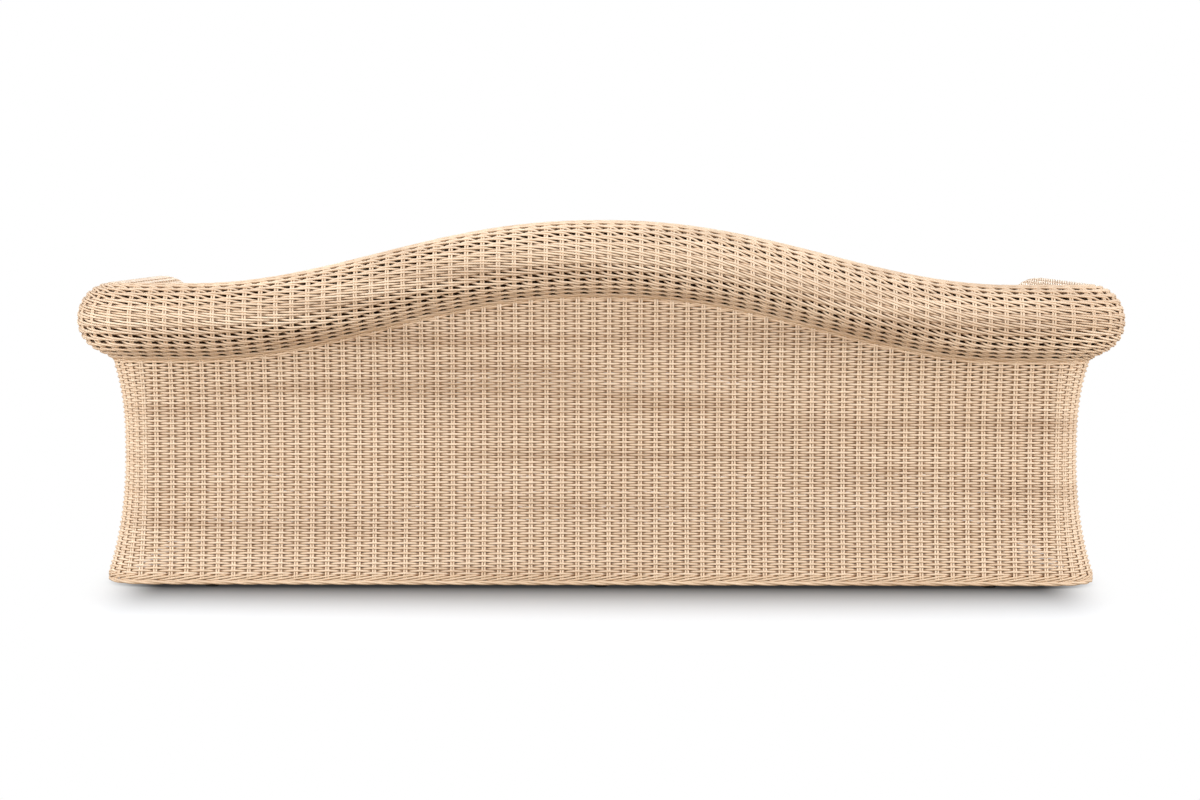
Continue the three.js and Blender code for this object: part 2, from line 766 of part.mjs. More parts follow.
// One level of a cushion: a rounded rectangle whose sides are drawn in between the corners.
function cushionRing(width, depth, inset, pull, z) {
  const r = Math.max(cushionCornerRadius - inset, 0.3 * cushionCornerRadius);
  const halfW = width / 2 - inset;
  const halfD = depth / 2 - inset;
  const points = [];
  const corners = [[1, -1, -Math.PI / 2], [1, 1, 0], [-1, 1, Math.PI / 2], [-1, -1, Math.PI]];
  for (const [sx, sy, from] of corners) {
    for (const a of range(from, from + Math.PI / 2, 3)) {
      const x = sx * (halfW - r) + r * Math.cos(a);
      const y = sy * (halfD - r) + r * Math.sin(a);
      points.push(new THREE.Vector3(x, y, z));
    }
    const last = points[points.length - 1];
    const along = sx === sy ? new THREE.Vector3(-sx, 0, 0) : new THREE.Vector3(0, -sy, 0);
    const inwards = sx === sy ? new THREE.Vector3(0, -sy, 0) : new THREE.Vector3(-sx, 0, 0);
    const span = 2 * ((sx === sy ? halfW : halfD) - r);
    for (const share of sideShares) {
      points.push(last.clone().addScaledVector(along, span * share)
        .addScaledVector(inwards, pull * Math.sin(Math.PI * share)));
    }
  }
  return points;
}

function cushion(width, depth) {
  const t = cushionThickness;
  const f = cushionEdgeRadius;
  const half = Math.min(width, depth) / 2;
  const levels = [
    [f, 0, 0], [f * 0.3, 0.5, f * 0.35], [0, 1, cushionSeam + f * 0.3],
    [-cushionBulge + cushionPull, 0.6, t / 2],
    [0, 1, t - cushionSeam - f * 0.3], [f * 0.3, 0.5, t - f * 0.3], [f, 0.3, t],
  ].map(([inset, pullShare, z]) => cushionRing(width, depth, inset, cushionPull * pullShare, z));
  for (const share of crownShares) {
    const ring = cushionRing(width, depth, f + (half - f) * share, 0, t);
    for (const p of ring) {
      const across = 1 - Math.pow(p.x / (width / 2 - f), 2);
      const along = 1 - Math.pow(p.y / (depth / 2 - f), 2);
      p.z += cushionCrown * Math.max(across, 0) * Math.max(along, 0);
    }
    levels.push(ring);
  }
  return loft(levels, levels[0].map((p) => new THREE.Vector2(p.x, p.y)));
}

function buildCushions() {
  const room = 2 * (armInnerX(deckHeight) - cushionGap);
  const width = room / cushionCount - cushionGap;
  const back = backCentreY + innerFace(deckHeight, armRollZ, innerBackLean).out - backGap;
  const front = apronLineY + waistInset - cushionOverhang;
  const depth = back - front;
  ['left', 'middle', 'right'].forEach((word, i) => {
    const x = (i - (cushionCount - 1) / 2) * room / cushionCount;
    const piece = cushion(width, depth).translate(x, (front + back) / 2, deckHeight + seatGap);
    addPiece(`seat_cushion_${word}`, piece, canvas);
  });
}

buildSkins();
buildBorders();
buildFrame();
buildGlides();
buildCushions();

export default group;
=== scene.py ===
import math
import bpy
import numpy as np
from mathutils.kdtree import KDTree
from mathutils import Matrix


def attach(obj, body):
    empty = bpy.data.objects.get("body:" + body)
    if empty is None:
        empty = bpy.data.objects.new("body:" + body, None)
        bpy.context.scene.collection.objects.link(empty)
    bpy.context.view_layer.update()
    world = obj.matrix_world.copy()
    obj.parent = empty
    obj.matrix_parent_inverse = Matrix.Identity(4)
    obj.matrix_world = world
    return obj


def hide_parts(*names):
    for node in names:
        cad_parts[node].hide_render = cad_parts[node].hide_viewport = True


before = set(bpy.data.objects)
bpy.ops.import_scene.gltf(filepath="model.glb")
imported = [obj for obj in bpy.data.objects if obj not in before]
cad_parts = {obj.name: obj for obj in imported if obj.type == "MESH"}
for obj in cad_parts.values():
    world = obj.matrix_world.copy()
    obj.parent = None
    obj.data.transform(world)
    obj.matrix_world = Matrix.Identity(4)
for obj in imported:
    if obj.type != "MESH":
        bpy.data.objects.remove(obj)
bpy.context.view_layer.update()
scene = bpy.context.scene
scene.view_settings.view_transform = "Standard"


def linked(name, data):
    obj = bpy.data.objects.new(name, data)
    scene.collection.objects.link(obj)
    return obj


# behind the sofa, a little above its hump, tilted down
camera = {"lens": 85.0, "sensor": 36.0, "clip": (0.05, 100.0), "spot": (0.0035, 6.932, 0.847),
          "tiltDown": 3.602, "roll": -0.12, "heading": 180.0}


def makeCamera():
    data = bpy.data.cameras.new("photoCamera")
    data.lens, data.sensor_width = camera["lens"], camera["sensor"]
    data.clip_start, data.clip_end = camera["clip"]
    obj = linked("photoCamera", data)
    obj.location = camera["spot"]
    turns = (90 - camera["tiltDown"], camera["roll"], camera["heading"])
    obj.rotation_euler = [math.radians(turn) for turn in turns]
    scene.camera = obj


makeCamera()
print("camera placed")

# the sofa's main sizes, in metres, as the CAD has them
sofa = {
    "width": 2.45, "depth": 0.96, "backTop": 0.851, "armTop": 0.704, "rollRadius": 0.084,
    "cornerRadius": 0.09, "humpHalfWidth": 0.941, "humpPower": 1.1, "skin": 0.012, "waistHeight": 0.315,
    "waistInset": 0.025, "baseFlare": 0.0235, "flarePower": 2.3, "neckPower": 2.6, "neckFlare": 0.007,
    "armLean": 0.020, "backLean": 0.066, "leanPower": 1.3, "deckHeight": 0.312, "apronSetBack": 0.026,
    "borderProud": 0.001, "borderBottom": 0.0055, "borderTop": 0.030, "borderTurn": 0.020,
    "edgingRadius": 0.008, "facingSetBack": 0.004,
}
rollRadius = sofa["rollRadius"]
armX = sofa["width"] / 2 - rollRadius
backY = sofa["depth"] / 2 - rollRadius
frontY = -sofa["depth"] / 2
rollZ = sofa["armTop"] - rollRadius
armNeck = rollZ - rollRadius
humpRise = sofa["backTop"] - sofa["armTop"]
cornerX = armX - sofa["cornerRadius"]
cornerY = backY - sofa["cornerRadius"]
facingY = frontY + sofa["facingSetBack"]
shellFrontY = frontY + 2 * sofa["edgingRadius"]
apronY = facingY + sofa["apronSetBack"] - sofa["borderProud"]

# how many stakes stand along each stretch: the left arm, round the back, the right arm
stakes = {"arm": 21, "corner": 5, "back": 58}
backStart = 0
backEnd = 2 * stakes["corner"] + stakes["back"]
middle = (backStart + backEnd) // 2
armStart = -stakes["arm"]
armEnd = backEnd + stakes["arm"]


def hump(x):
    share = np.minimum(1, np.abs(x) / sofa["humpHalfWidth"])
    return humpRise * (1 + np.cos(np.pi * share ** sofa["humpPower"])) / 2


# place, outward direction and roll height at a stake count along the arms and back
def wayRound(u):
    u = np.asarray(u, float)
    corner, back = stakes["corner"], stakes["back"]
    x, y, outX, outY, rise = (np.zeros_like(u) for _ in range(5))
    for side, count in ((-1, u), (1, backEnd - u)):
        arm = count < 0
        x[arm] = side * armX
        y[arm] = cornerY + count[arm] / stakes["arm"] * (cornerY - shellFrontY)
        outX[arm] = side
        turn = (count >= 0) & (count < corner)
        angle = (1 - count[turn] / corner) * math.pi / 2
        outX[turn] = side * np.sin(angle)
        outY[turn] = np.cos(angle)
        x[turn] = side * cornerX + sofa["cornerRadius"] * outX[turn]
        y[turn] = cornerY + sofa["cornerRadius"] * outY[turn]
    mid = (u >= corner) & (u <= backEnd - corner)
    x[mid] = -cornerX + (u[mid] - corner) / back * 2 * cornerX
    y[mid] = backY
    outY[mid] = 1
    rise[mid] = hump(x[mid])
    return np.stack([x, y], -1), np.stack([outX, outY], -1), rollZ + rise


def outerOut(z, neckTop=armNeck):
    below = np.clip((sofa["waistHeight"] - z) / (sofa["waistHeight"] - sofa["borderBottom"]), 0, 2)
    above = np.clip((z - sofa["waistHeight"]) / (neckTop - sofa["waistHeight"]), 0, 2)
    flare, neck = sofa["waistInset"] + sofa["baseFlare"], sofa["waistInset"] + sofa["neckFlare"]
    return -sofa["waistInset"] + flare * below ** sofa["flarePower"] + neck * above ** sofa["neckPower"]


def innerOut(z, top, lean):
    share = np.clip((top - z) / (top - sofa["deckHeight"]), 0, 1)
    return -rollRadius - lean * share ** sofa["leanPower"]


def armInnerOut(z):
    return innerOut(z, rollZ, sofa["armLean"])


borderOut = float(outerOut(sofa["borderTop"])) + sofa["borderProud"]
armInner = armX + armInnerOut(sofa["deckHeight"])


# points at a distance out from the roll's centre line
def place(spot, out, distance, z):
    flat = spot + out * np.broadcast_to(distance, out.shape[:-1])[..., None]
    return np.concatenate([flat, np.broadcast_to(z, flat.shape[:-1])[..., None]], -1)


def unit(v):
    return v / np.maximum(np.linalg.norm(v, axis=-1, keepdims=True), 1e-12)


# cumulative length along a flat line
def lengthAlong(x, y):
    return np.concatenate([[0], np.cumsum(np.hypot(np.diff(x), np.diff(y)))])


# short ways to add the nodes used here to a node tree
class Wiring:
    def __init__(self, tree):
        self.tree = tree

    def fill(self, made, inputs):
        for key, value in inputs.items():
            if isinstance(value, bpy.types.NodeSocket):
                self.tree.links.new(value, made.inputs[key])
            else:
                made.inputs[key].default_value = value

    def node(self, kind, inputs, output=0, **settings):
        made = self.tree.nodes.new(kind)
        for key, value in settings.items():
            setattr(made, key, value)
        self.fill(made, inputs)
        return made.outputs[output] if made.outputs else None

    def math(self, kind, a, b):
        return self.node("ShaderNodeMath", {0: a, 1: b}, operation=kind)

    def times(self, a, b):
        return self.math("MULTIPLY", a, b)

    def vector(self, kind, a, b=None):
        inputs = {0: a} if b is None else {0: a, "Scale" if kind == "SCALE" else 1: b}
        return self.node("ShaderNodeVectorMath", inputs, "Value" if kind == "LENGTH" else 0, operation=kind)

    def objectSpot(self):
        return self.node("ShaderNodeTexCoord", {}, "Object")

    def attribute(self, name, output="Fac"):
        return self.node("ShaderNodeAttribute", {}, output, attribute_name=name)

    def noise(self, vector, scale, detail=2.0, rough=0.5):
        inputs = {"Vector": vector, "Scale": scale, "Detail": detail, "Roughness": rough}
        return self.node("ShaderNodeTexNoise", inputs, "Fac")

    def ranged(self, value, low, high, start=0.0, end=1.0, kind="LINEAR"):
        inputs = {"Value": value, "From Min": low, "From Max": high, "To Min": start, "To Max": end}
        return self.node("ShaderNodeMapRange", inputs, interpolation_type=kind)

    def mixed(self, share, a, b, kind="MIX"):
        return self.node("ShaderNodeMix", {"Factor": share, 6: a, 7: b}, 2, data_type="RGBA", blend_type=kind)

    def toned(self, value, low, high, places=(0.0, 1.0)):
        tone = self.node("ShaderNodeValToRGB", {"Fac": value}, "Color")
        for element, colour, spot in zip(tone.node.color_ramp.elements, (low, high), places):
            element.color = (*colour, 1)
            element.position = spot
        return tone

    def bumped(self, height, strength):
        inputs = {"Strength": strength, "Distance": grainDepth, "Height": height}
        return self.node("ShaderNodeBump", inputs, "Normal")


grainDepth = 0.0004


def newGroup(name, kind, inputs, outputs):
    tree = bpy.data.node_groups.new(name, kind)
    for word, socketKind, value in inputs:
        socket = tree.interface.new_socket(word, in_out="INPUT", socket_type="NodeSocket" + socketKind)
        if value is not None:
            socket.default_value = value
    for word, socketKind in outputs:
        tree.interface.new_socket(word, in_out="OUTPUT", socket_type="NodeSocket" + socketKind)
    return Wiring(tree), tree.nodes.new("NodeGroupInput").outputs, tree.nodes.new("NodeGroupOutput")


# a material whose surface inputs come from a function of its wiring
def newMaterial(name, look):
    material = bpy.data.materials.new(name)
    material.use_nodes = True
    wires = Wiring(material.node_tree)
    wires.fill(material.node_tree.nodes["Principled BSDF"], look(wires))
    return material


# weave: strand and stake sizes, and how a strand's path leaves the middle of the skin
weave = {
    "strand": 0.00295, "stake": 0.0024, "stakeApart": 0.0027, "stakeOut": 0.0018, "stakeWander": 0.0008,
    "stakePast": 0.004, "stakeBelow": 0.008, "lift": 0.0043, "sink": 0.0071, "row": 0.00588, "steps": 4,
    "sides": 6, "innerSides": 5, "wander": 0.0006, "into": 0.012, "dwell": 1.4, "tuckDepth": 0.9,
    "gathered": 3, "gatherFrom": -0.0068, "gatherStep": 0.0054, "gatherSwing": 0.7, "gatherDepth": -0.1,
    "rowsBelowRoll": 0.009, "aboveBorder": 0.001, "belowSlope": 0.002, "aboveSeat": 0.002, "aboveFoot": 0.004,
    "apronGap": 0.002, "stakeDepth": 0.05, "pastCorner": 0.4, "frontStakes": 1.6,
}
coil = {
    "rows": 21, "strand": 0.0028, "lift": 0.0048, "sink": 0.0074, "stakeOut": 0.0020, "wrap": 0.0172,
    "wrapThick": 0.0006, "wrapFrom": -112, "slopeFrom": -58, "from": -95, "to": 180, "slopeDrop": 0.0125,
    "phase": 0.4, "behind": 0.15, "passing": 0.8, "tightAt": 12, "openOver": 55, "openPower": 1.5,
    "midLift": 0.64, "openLift": 1.30, "tuck": 6, "gathered": 3, "gatherFrom": -2.4, "gatherStep": 3.3,
    "gatherSwing": 0.4, "gatherDepth": 0.35, "paintedShadeFrom": -15, "paintedShadeOver": 70,
}


# strand paths: where each one runs, which way is out and across, how far it leaves that line, and how much
# painted shade it gets
class Guides:
    kinds = (("facing", "FLOAT_VECTOR"), ("across", "FLOAT_VECTOR"), ("depth", "FLOAT"), ("rise", "FLOAT"),
             ("strand", "FLOAT"), ("paintedShade", "FLOAT"))

    def __init__(self):
        self.parts = []
        self.count = 0

    def add(self, points, facing, across, depth, rise, paintedShade=0):
        n = len(points)
        if n < 2:
            return
        self.count += 1
        numbers = [np.broadcast_to(np.asarray(a, float), (n,)) for a in (depth, rise, self.count, paintedShade)]
        ways = [np.broadcast_to(np.asarray(a, float), (n, 3)) for a in (facing, across)]
        self.parts.append([np.asarray(points, float), *ways, *numbers])

    def mirrored(self):
        other = Guides()
        flip = np.array([-1.0, 1.0, 1.0])
        other.parts = [[*(a * flip for a in part[:3]), *part[3:]] for part in self.parts]
        return other

    def mesh(self, name):
        points, *values = [np.concatenate(arrays) for arrays in zip(*self.parts)]
        lasts = np.cumsum([len(part[0]) for part in self.parts]) - 1
        starts = np.setdiff1d(np.arange(len(points)), lasts)
        data = bpy.data.meshes.new(name)
        data.vertices.add(len(points))
        data.vertices.foreach_set("co", points.ravel())
        data.edges.add(len(starts))
        data.edges.foreach_set("vertices", np.stack([starts, starts + 1], -1).ravel())
        for (word, kind), array in zip(self.kinds, values):
            field = "vector" if kind == "FLOAT_VECTOR" else "value"
            data.attributes.new(word, kind, "POINT").data.foreach_set(field, array.ravel())
        data.update()
        return data


# sweeps a round strand along every guide, bent out and across by its own depth and rise
def makeStrandTree():
    wires, source, end = newGroup(
        "strandsOnGuides", "GeometryNodeTree",
        (("Geometry", "Geometry", None), ("Radius", "Float", 0.0028), ("Lift", "Float", 0.004),
         ("Spread", "Float", 0.0056), ("Wander", "Float", 0.0006), ("Sides", "Int", 5), ("Seed", "Int", 1),
         ("Material", "Material", None)),
        (("Geometry", "Geometry"),))
    node, vector = wires.node, wires.vector

    def attribute(name, kind="FLOAT"):
        return node("GeometryNodeInputNamedAttribute", {"Name": name}, "Attribute", data_type=kind)

    def kept(geometry, name, value, kind="FLOAT"):
        return node("GeometryNodeStoreNamedAttribute", {"Geometry": geometry, "Name": name, "Value": value},
                    data_type=kind, domain="POINT")

    def moved(way, amount, size):
        return vector("SCALE", attribute(way, "FLOAT_VECTOR"), wires.times(attribute(amount), source[size]))

    noise = node("ShaderNodeTexNoise", {"W": attribute("strand"), "Scale": 9.0, "Detail": 1.0}, "Color",
                 noise_dimensions="4D")
    loose = vector("SCALE", vector("SUBTRACT", noise, (0.5, 0.5, 0.5)), source["Wander"])
    offset = vector("ADD", moved("facing", "depth", "Lift"), moved("across", "rise", "Spread"))
    offset = vector("ADD", offset, loose)
    bent = node("GeometryNodeSetPosition", {"Geometry": source["Geometry"], "Offset": offset})
    chance = {"ID": attribute("strand"), "Seed": source["Seed"]}
    tint = node("FunctionNodeRandomValue", chance, 1, data_type="FLOAT")
    path = node("GeometryNodeMeshToCurve", {0: kept(bent, "tint", tint)})
    path = kept(path, "run", node("GeometryNodeSplineParameter", {}, "Length"))
    circle = {"Resolution": source["Sides"], "Radius": source["Radius"]}
    rim = node("GeometryNodeCurvePrimitiveCircle", circle, mode="RADIUS")
    rimWay = vector("NORMALIZE", node("GeometryNodeInputPosition", {}))
    tube = node("GeometryNodeCurveToMesh", {"Curve": path, "Fill Caps": True,
                                            "Profile Curve": kept(rim, "rim", rimWay, "FLOAT_VECTOR")})
    # the normal's height, which the strand material turns into painted shade along undersides
    upward = node("ShaderNodeSeparateXYZ", {0: node("GeometryNodeInputNormal", {})}, 2)
    tube = node("GeometryNodeSetShadeSmooth", {"Geometry": kept(tube, "upward", upward)})
    tube = node("GeometryNodeSetMaterial", {"Geometry": tube, "Material": source["Material"]})
    wires.fill(end, {0: node("GeometryNodeRealizeInstances", {0: tube})})
    return wires.tree


strandTree = makeStrandTree()


# a plain mesh of every strand on the guides
def growStrands(name, guides, material, radius, seed, sides=weave["sides"], lift=0, wander=weave["wander"],
                spread=0):
    base = linked(name + "Guides", guides.mesh(name + "Guides"))
    modifier = base.modifiers.new("strands", "NODES")
    modifier.node_group = strandTree
    values = {"Radius": radius, "Lift": lift, "Spread": spread, "Wander": wander, "Sides": sides,
              "Seed": seed, "Material": material}
    for item in strandTree.interface.items_tree:
        if item.item_type == "SOCKET" and item.in_out == "INPUT" and item.name in values:
            modifier[item.identifier] = values[item.name]
    bpy.context.view_layer.update()
    ready = base.evaluated_get(bpy.context.evaluated_depsgraph_get())
    data = bpy.data.meshes.new_from_object(ready)
    data.name = name
    base.modifiers.remove(modifier)
    bpy.data.objects.remove(base)
    for word in ("facing", "across", "rise", "strand"):
        if word in data.attributes:
            data.attributes.remove(data.attributes[word])
    return data


# one object from several meshes, standing for the CAD nodes named
def joinedPiece(name, meshes, nodes):
    parts = [linked(name, data) for data in meshes]
    obj = parts[0]
    if len(parts) > 1:
        with bpy.context.temp_override(active_object=obj, object=obj, selected_objects=parts,
                                       selected_editable_objects=parts):
            bpy.ops.object.join()
    obj.name = name
    obj.data.name = name
    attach(obj, "root")
    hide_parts(*nodes)
    return obj


# colour, roughness and fine height of a strand of rattan core, from its own run, rim and tint, with painted
# shade in its recesses, along its underside and under the roll
def makeStrandLook():
    wires, source, end = newGroup(
        "rattanStrand", "ShaderNodeTree",
        (("Pale", "Color", (0.8, 0.6, 0.4, 1)), ("Warm", "Color", (0.7, 0.5, 0.3, 1)),
         ("Dark", "Color", (0.4, 0.25, 0.13, 1)), ("ShadeAmber", "Color", (0.48, 0.235, 0.055, 1)),
         ("Stain", "Float", 0.3), ("RecessShade", "Float", 0.5)),
        (("Color", "Color"), ("Roughness", "Float"), ("Height", "Float")))
    times, ranged, mixed, attribute = wires.times, wires.ranged, wires.mixed, wires.attribute
    pale, warm, dark, shadeAmber = (source[word] for word in ("Pale", "Warm", "Dark", "ShadeAmber"))
    tint, run, spot = attribute("tint"), attribute("run"), wires.objectSpot()
    along = wires.node("ShaderNodeCombineXYZ", {0: times(run, 2.4), 1: times(tint, 57.0)})
    slow = wires.noise(along, 1.0)  # slow changes along one strand
    across = wires.vector("MULTIPLY", attribute("rim", "Vector"), (2.2, 2.2, 0.0))
    shifted = wires.node("ShaderNodeCombineXYZ", {2: times(run, 18.0), 1: times(tint, 31.0)})
    fibre = wires.noise(wires.vector("ADD", across, shifted), 2.0, 3.0, 0.6)  # fibres run along the strand
    patch = wires.noise(spot, 3.2, 3.0)
    batch = wires.noise(wires.vector("MULTIPLY", spot, (1.2, 1.2, 19.0)), 1.0, 2.5)  # neighbouring rows match
    tone = wires.math("ADD", times(tint, 0.55), times(ranged(slow, 0.3, 0.7), 0.45))
    base = mixed(ranged(tone, 0.15, 1.0), pale, warm)
    base = mixed(times(ranged(slow, 0.58, 0.78), source["Stain"]), base, dark)
    base = mixed(times(ranged(fibre, 0.52, 0.8), 0.30), base, dark)
    base = mixed(times(ranged(patch, 0.35, 0.75), 0.16), base, warm)
    base = mixed(times(ranged(batch, 0.48, 0.64), 0.24), base, dark)
    paintedRecessShade = ranged(attribute("depth"), -0.25, -0.9)  # painted shade: darker where the strand dips in behind the stakes
    base = mixed(times(paintedRecessShade, source["RecessShade"]), base, dark)
    undersideShade = ranged(attribute("upward"), 0.1, -0.95)  # painted shade: each strand browner along its downward-facing side
    base = mixed(times(undersideShade, 0.62), base, shadeAmber)
    # painted shade under the roll: browner, and darker still in the recesses
    paintedShade = attribute("paintedShade")
    base = mixed(times(paintedShade, 0.16), base, shadeAmber)
    base = mixed(times(paintedShade, times(paintedRecessShade, 0.6)), base, dark)
    rough = wires.math("ADD", times(fibre, 0.25), 0.42)
    wires.fill(end, {"Color": base, "Roughness": rough, "Height": fibre})
    return wires.tree


strandLook = makeStrandLook()


def strandMaterial(name, pale, warm, dark, stain, recessShadeStrength):
    def look(wires):
        inputs = {"Pale": (*pale, 1), "Warm": (*warm, 1), "Dark": (*dark, 1),
                  "Stain": stain, "RecessShade": recessShadeStrength}
        out = wires.node("ShaderNodeGroup", inputs, node_tree=strandLook).node.outputs
        return {"Base Color": out["Color"], "Roughness": out["Roughness"], "Specular IOR Level": 0.35,
                "Normal": wires.bumped(out["Height"], 0.25)}
    return newMaterial(name, look)


paleCore, darkCore = (0.85, 0.682, 0.516), (0.24, 0.090, 0.022)
# the last number of each is how much painted shade its recesses get
coreLook = strandMaterial("rattanCore", paleCore, (0.74, 0.560, 0.396), darkCore, 0.17, 0.98)
coilLook = strandMaterial("rattanCoil", (0.875, 0.702, 0.531), (0.772, 0.587, 0.416), darkCore, 0.16, 0.55)
stakeLook = strandMaterial("rattanStake", paleCore, (0.77, 0.590, 0.425), (0.34, 0.18, 0.07), 0.14, 0.60)

rightWay, frontWay, upWay = np.array([1.0, 0.0, 0.0]), np.array([0.0, -1.0, 0.0]), np.array([0.0, 0.0, 1.0])


# pairs of stakes at the marks, each following the skin through its levels
def stakesOn(guides, surface, marks, levelsAt, apart=weave["stakeApart"], outwards=weave["stakeOut"]):
    for mark in marks:
        levels = levelsAt(mark)
        points, facing, along = surface(np.full(len(levels), mark), levels)
        for side in (-1, 1):
            guides.add(points + unit(along) * side * apart + facing * outwards, facing, along,
                       weave["stakeDepth"], 0)


# start and end of each unbroken run of true values
def runsOf(mask):
    edge = np.diff(np.concatenate([[0], mask.astype(int), [0]]))
    return list(zip(np.where(edge == 1)[0], np.where(edge == -1)[0]))


# strands go under near an edge where others cover their ends
def tucked(depth, toEdge, reach):
    share = np.clip(1 - toEdge / reach, 0, 1)
    return depth * (1 - share) - weave["tuckDepth"] * share


# swings out in front of one pair of stakes and in behind the next
def twined(u, number):
    return np.cos(math.pi * (u - 0.5 + number))


# rows that pass in front of one pair of stakes and behind the next
def rowsOn(guides, surface, u, levels, inside, toEdge=None):
    for number, z in enumerate(levels):
        depth = twined(u, number)
        depth = np.sign(depth) * np.abs(depth) ** weave["dwell"]
        if toEdge is not None:
            depth = tucked(depth, toEdge(z), weave["row"])
        for a, b in runsOf(inside(u, z)):
            if b - a > 2:
                points, facing, along = surface(u[a:b], np.full(b - a, z))
                guides.add(points, facing, along, depth[a:b], 0)


def everywhere(at, level):
    return at == at


def steady(first, last, steps=weave["steps"]):
    return np.linspace(first, last, int(round((last - first) * steps)) + 1)


def halves(first, last):
    marks = np.arange(math.ceil(first - 0.5), math.floor(last - 0.5) + 1) + 0.5
    return marks[(marks > first) & (marks < last)]


# heights of the rows, evenly spaced along a face's own curve
def rowLevels(low, high, face):
    fine = np.linspace(low, high, 900)
    length = lengthAlong(fine, face(fine))
    count = int(length[-1] / weave["row"])
    return np.interp(np.arange(count) * weave["row"] + weave["row"] / 2, length, fine)


# a leaning or flared skin: its middle, its facing and the way along it
def onFace(spot, way, z, face, sign):
    out, step = np.broadcast_to(way, spot.shape), 0.002
    slope = (face(z + step) - face(z - step)) / (2 * step)
    facing = unit(np.concatenate([sign * out, -sign * slope[..., None]], -1))
    points = place(spot, out, face(z), z) - facing * weave["sink"]
    return points, facing, np.stack([-out[..., 1], out[..., 0], np.zeros(len(out))], -1)


def outerPoints(u, z):
    spot, out, top = wayRound(u)
    return onFace(spot, out, z, lambda h: outerOut(h, top - rollRadius), 1)


def wovenPiece(name, nodes, wefts, uprights, seed, sides=weave["sides"], sizes=weave):
    meshes = [growStrands(name, wefts, coreLook, sizes["strand"], seed, sides, sizes["lift"]),
              growStrands(name + "Stakes", uprights, stakeLook, sizes["stake"], seed + 1, sides, 0,
                          weave["stakeWander"])]
    return joinedPiece(name, meshes, nodes)


def outerSkin(name, nodes, first, last, seed):
    u = steady(first, last)
    highest = humpRise + armNeck  # one list of rows for all, so that they meet at the corners
    levels = rowLevels(sofa["borderTop"] + weave["aboveBorder"], highest, lambda z: outerOut(z, highest))
    edge = wayRound(u)[2] - rollRadius - coil["slopeDrop"] - weave["belowSlope"]
    wefts, uprights = Guides(), Guides()
    rowsOn(wefts, outerPoints, u, levels, lambda at, z: z < edge, lambda z: edge - z)
    stakesOn(uprights, outerPoints, halves(first, last), lambda mark: np.linspace(
        sofa["borderTop"] - weave["stakeBelow"],
        float(wayRound(np.array([mark]))[2][0]) - rollRadius + weave["stakePast"], 22))
    return wovenPiece(name, nodes, wefts, uprights, seed)


outerSkin("outer_back_strands_left", ["outer_back_weave"], backStart, middle, 11)
outerSkin("outer_back_strands_right", ["outer_back_weave"], middle, backEnd, 13)
outerSkin("left_outer_strands", ["left_outer_weave"], armStart, backStart, 15)
outerSkin("right_outer_strands", ["right_outer_weave"], backEnd, armEnd, 17)
print("outer skin woven")

rollFrom, rollTo = math.radians(coil["from"]), math.radians(coil["to"])


# the roll's section at a depth below its surface: a circle whose back slopes straight into the neck
def rollSection(angle, depth):
    start = math.radians(coil["slopeFrom"])
    turn = np.maximum(angle, start)
    face = np.stack([np.cos(turn), np.sin(turn)], -1)
    low, step = armNeck - coil["slopeDrop"], 0.001
    lean = float(outerOut(low) - outerOut(low - step)) / step
    first = rollRadius * np.array([math.cos(start), math.sin(start)])
    last = np.array([float(outerOut(low)), low - rollZ])
    reach = float(np.linalg.norm(last - first))
    startWay = reach * np.array([math.sin(start), -math.cos(start)])
    endWay = reach * unit(np.array([-lean, -1.0])) * 0.5
    along = np.maximum(0, (start - angle) / (start - rollFrom))[..., None]
    t = np.minimum(along, 1)
    sloped = (first * (1 + 2 * t) * (1 - t) ** 2 + startWay * t * (1 - t) ** 2 + last * t * t * (3 - 2 * t)
              + endWay * t * t * (t - 1) + 2 * endWay * np.maximum(along - 1, 0))
    way = unit(6 * t * (1 - t) * (last - first) + startWay * (1 - t) * (1 - 3 * t) + endWay * t * (3 * t - 2))
    sloping = along > 0
    face = np.where(sloping, np.stack([-way[..., 1], way[..., 0]], -1), face)
    return np.where(sloping, sloped, rollRadius * face) - face * depth, face


def rollPoints(u, angle, depth=coil["sink"]):
    spot, out, top = wayRound(u)
    at, face = rollSection(angle, depth)
    front = np.concatenate([out * face[..., :1], face[..., 1:]], -1)
    upward = np.concatenate([-out * face[..., 1:], face[..., :1]], -1)
    return place(spot, out, at[..., 0], top + at[..., 1]), front, upward


def shadeWrapTones(wires):
    # near-black painted shade standing in for the dark hollow of the roll
    tone = wires.toned(wires.noise(wires.objectSpot(), 30.0), (0.024, 0.009, 0.002), (0.058, 0.023, 0.006))
    return {"Base Color": tone, "Roughness": 0.95, "Specular IOR Level": 0.1}


shadeWrapLook = newMaterial("rollShadeWrap", shadeWrapTones)


# a thin sheet under the roll's weave, painted near-black as the shade inside the roll, which also keeps
# daylight from passing through its gaps
def rollShadeWrap(name, first, last):
    u = steady(first, last, 2)
    angles = np.linspace(math.radians(coil["wrapFrom"]), rollTo, 31)
    layers = ((coil["wrap"], angles), (coil["wrap"] + coil["wrapThick"], angles[::-1]))
    points = np.array([rollPoints(u, np.full(len(u), angle), depth)[0] for depth, order in layers
                       for angle in order])
    count, n = points.shape[:2]
    faces = []
    for i in range(count):
        for j in range(n - 1):
            a, b = i * n + j, ((i + 1) % count) * n + j
            faces.append((a, b, b + 1, a + 1))
    for j in (0, n - 1):
        for i in range(count // 2 - 1):
            face = (i * n + j, (count - 1 - i) * n + j, (count - 2 - i) * n + j, (i + 1) * n + j)
            faces.append(face if j == 0 else face[::-1])
    data = bpy.data.meshes.new(name)
    data.from_pydata(points.reshape(-1, 3).tolist(), [], faces)
    data.materials.append(shadeWrapLook)
    data.update()
    return data


# how much painted shade a strand gets under the roll, by its angle round the roll
def underside(angle):
    share = np.clip((coil["paintedShadeFrom"] - np.degrees(angle)) / coil["paintedShadeOver"], 0, 1)
    return share * share * (3 - 2 * share)


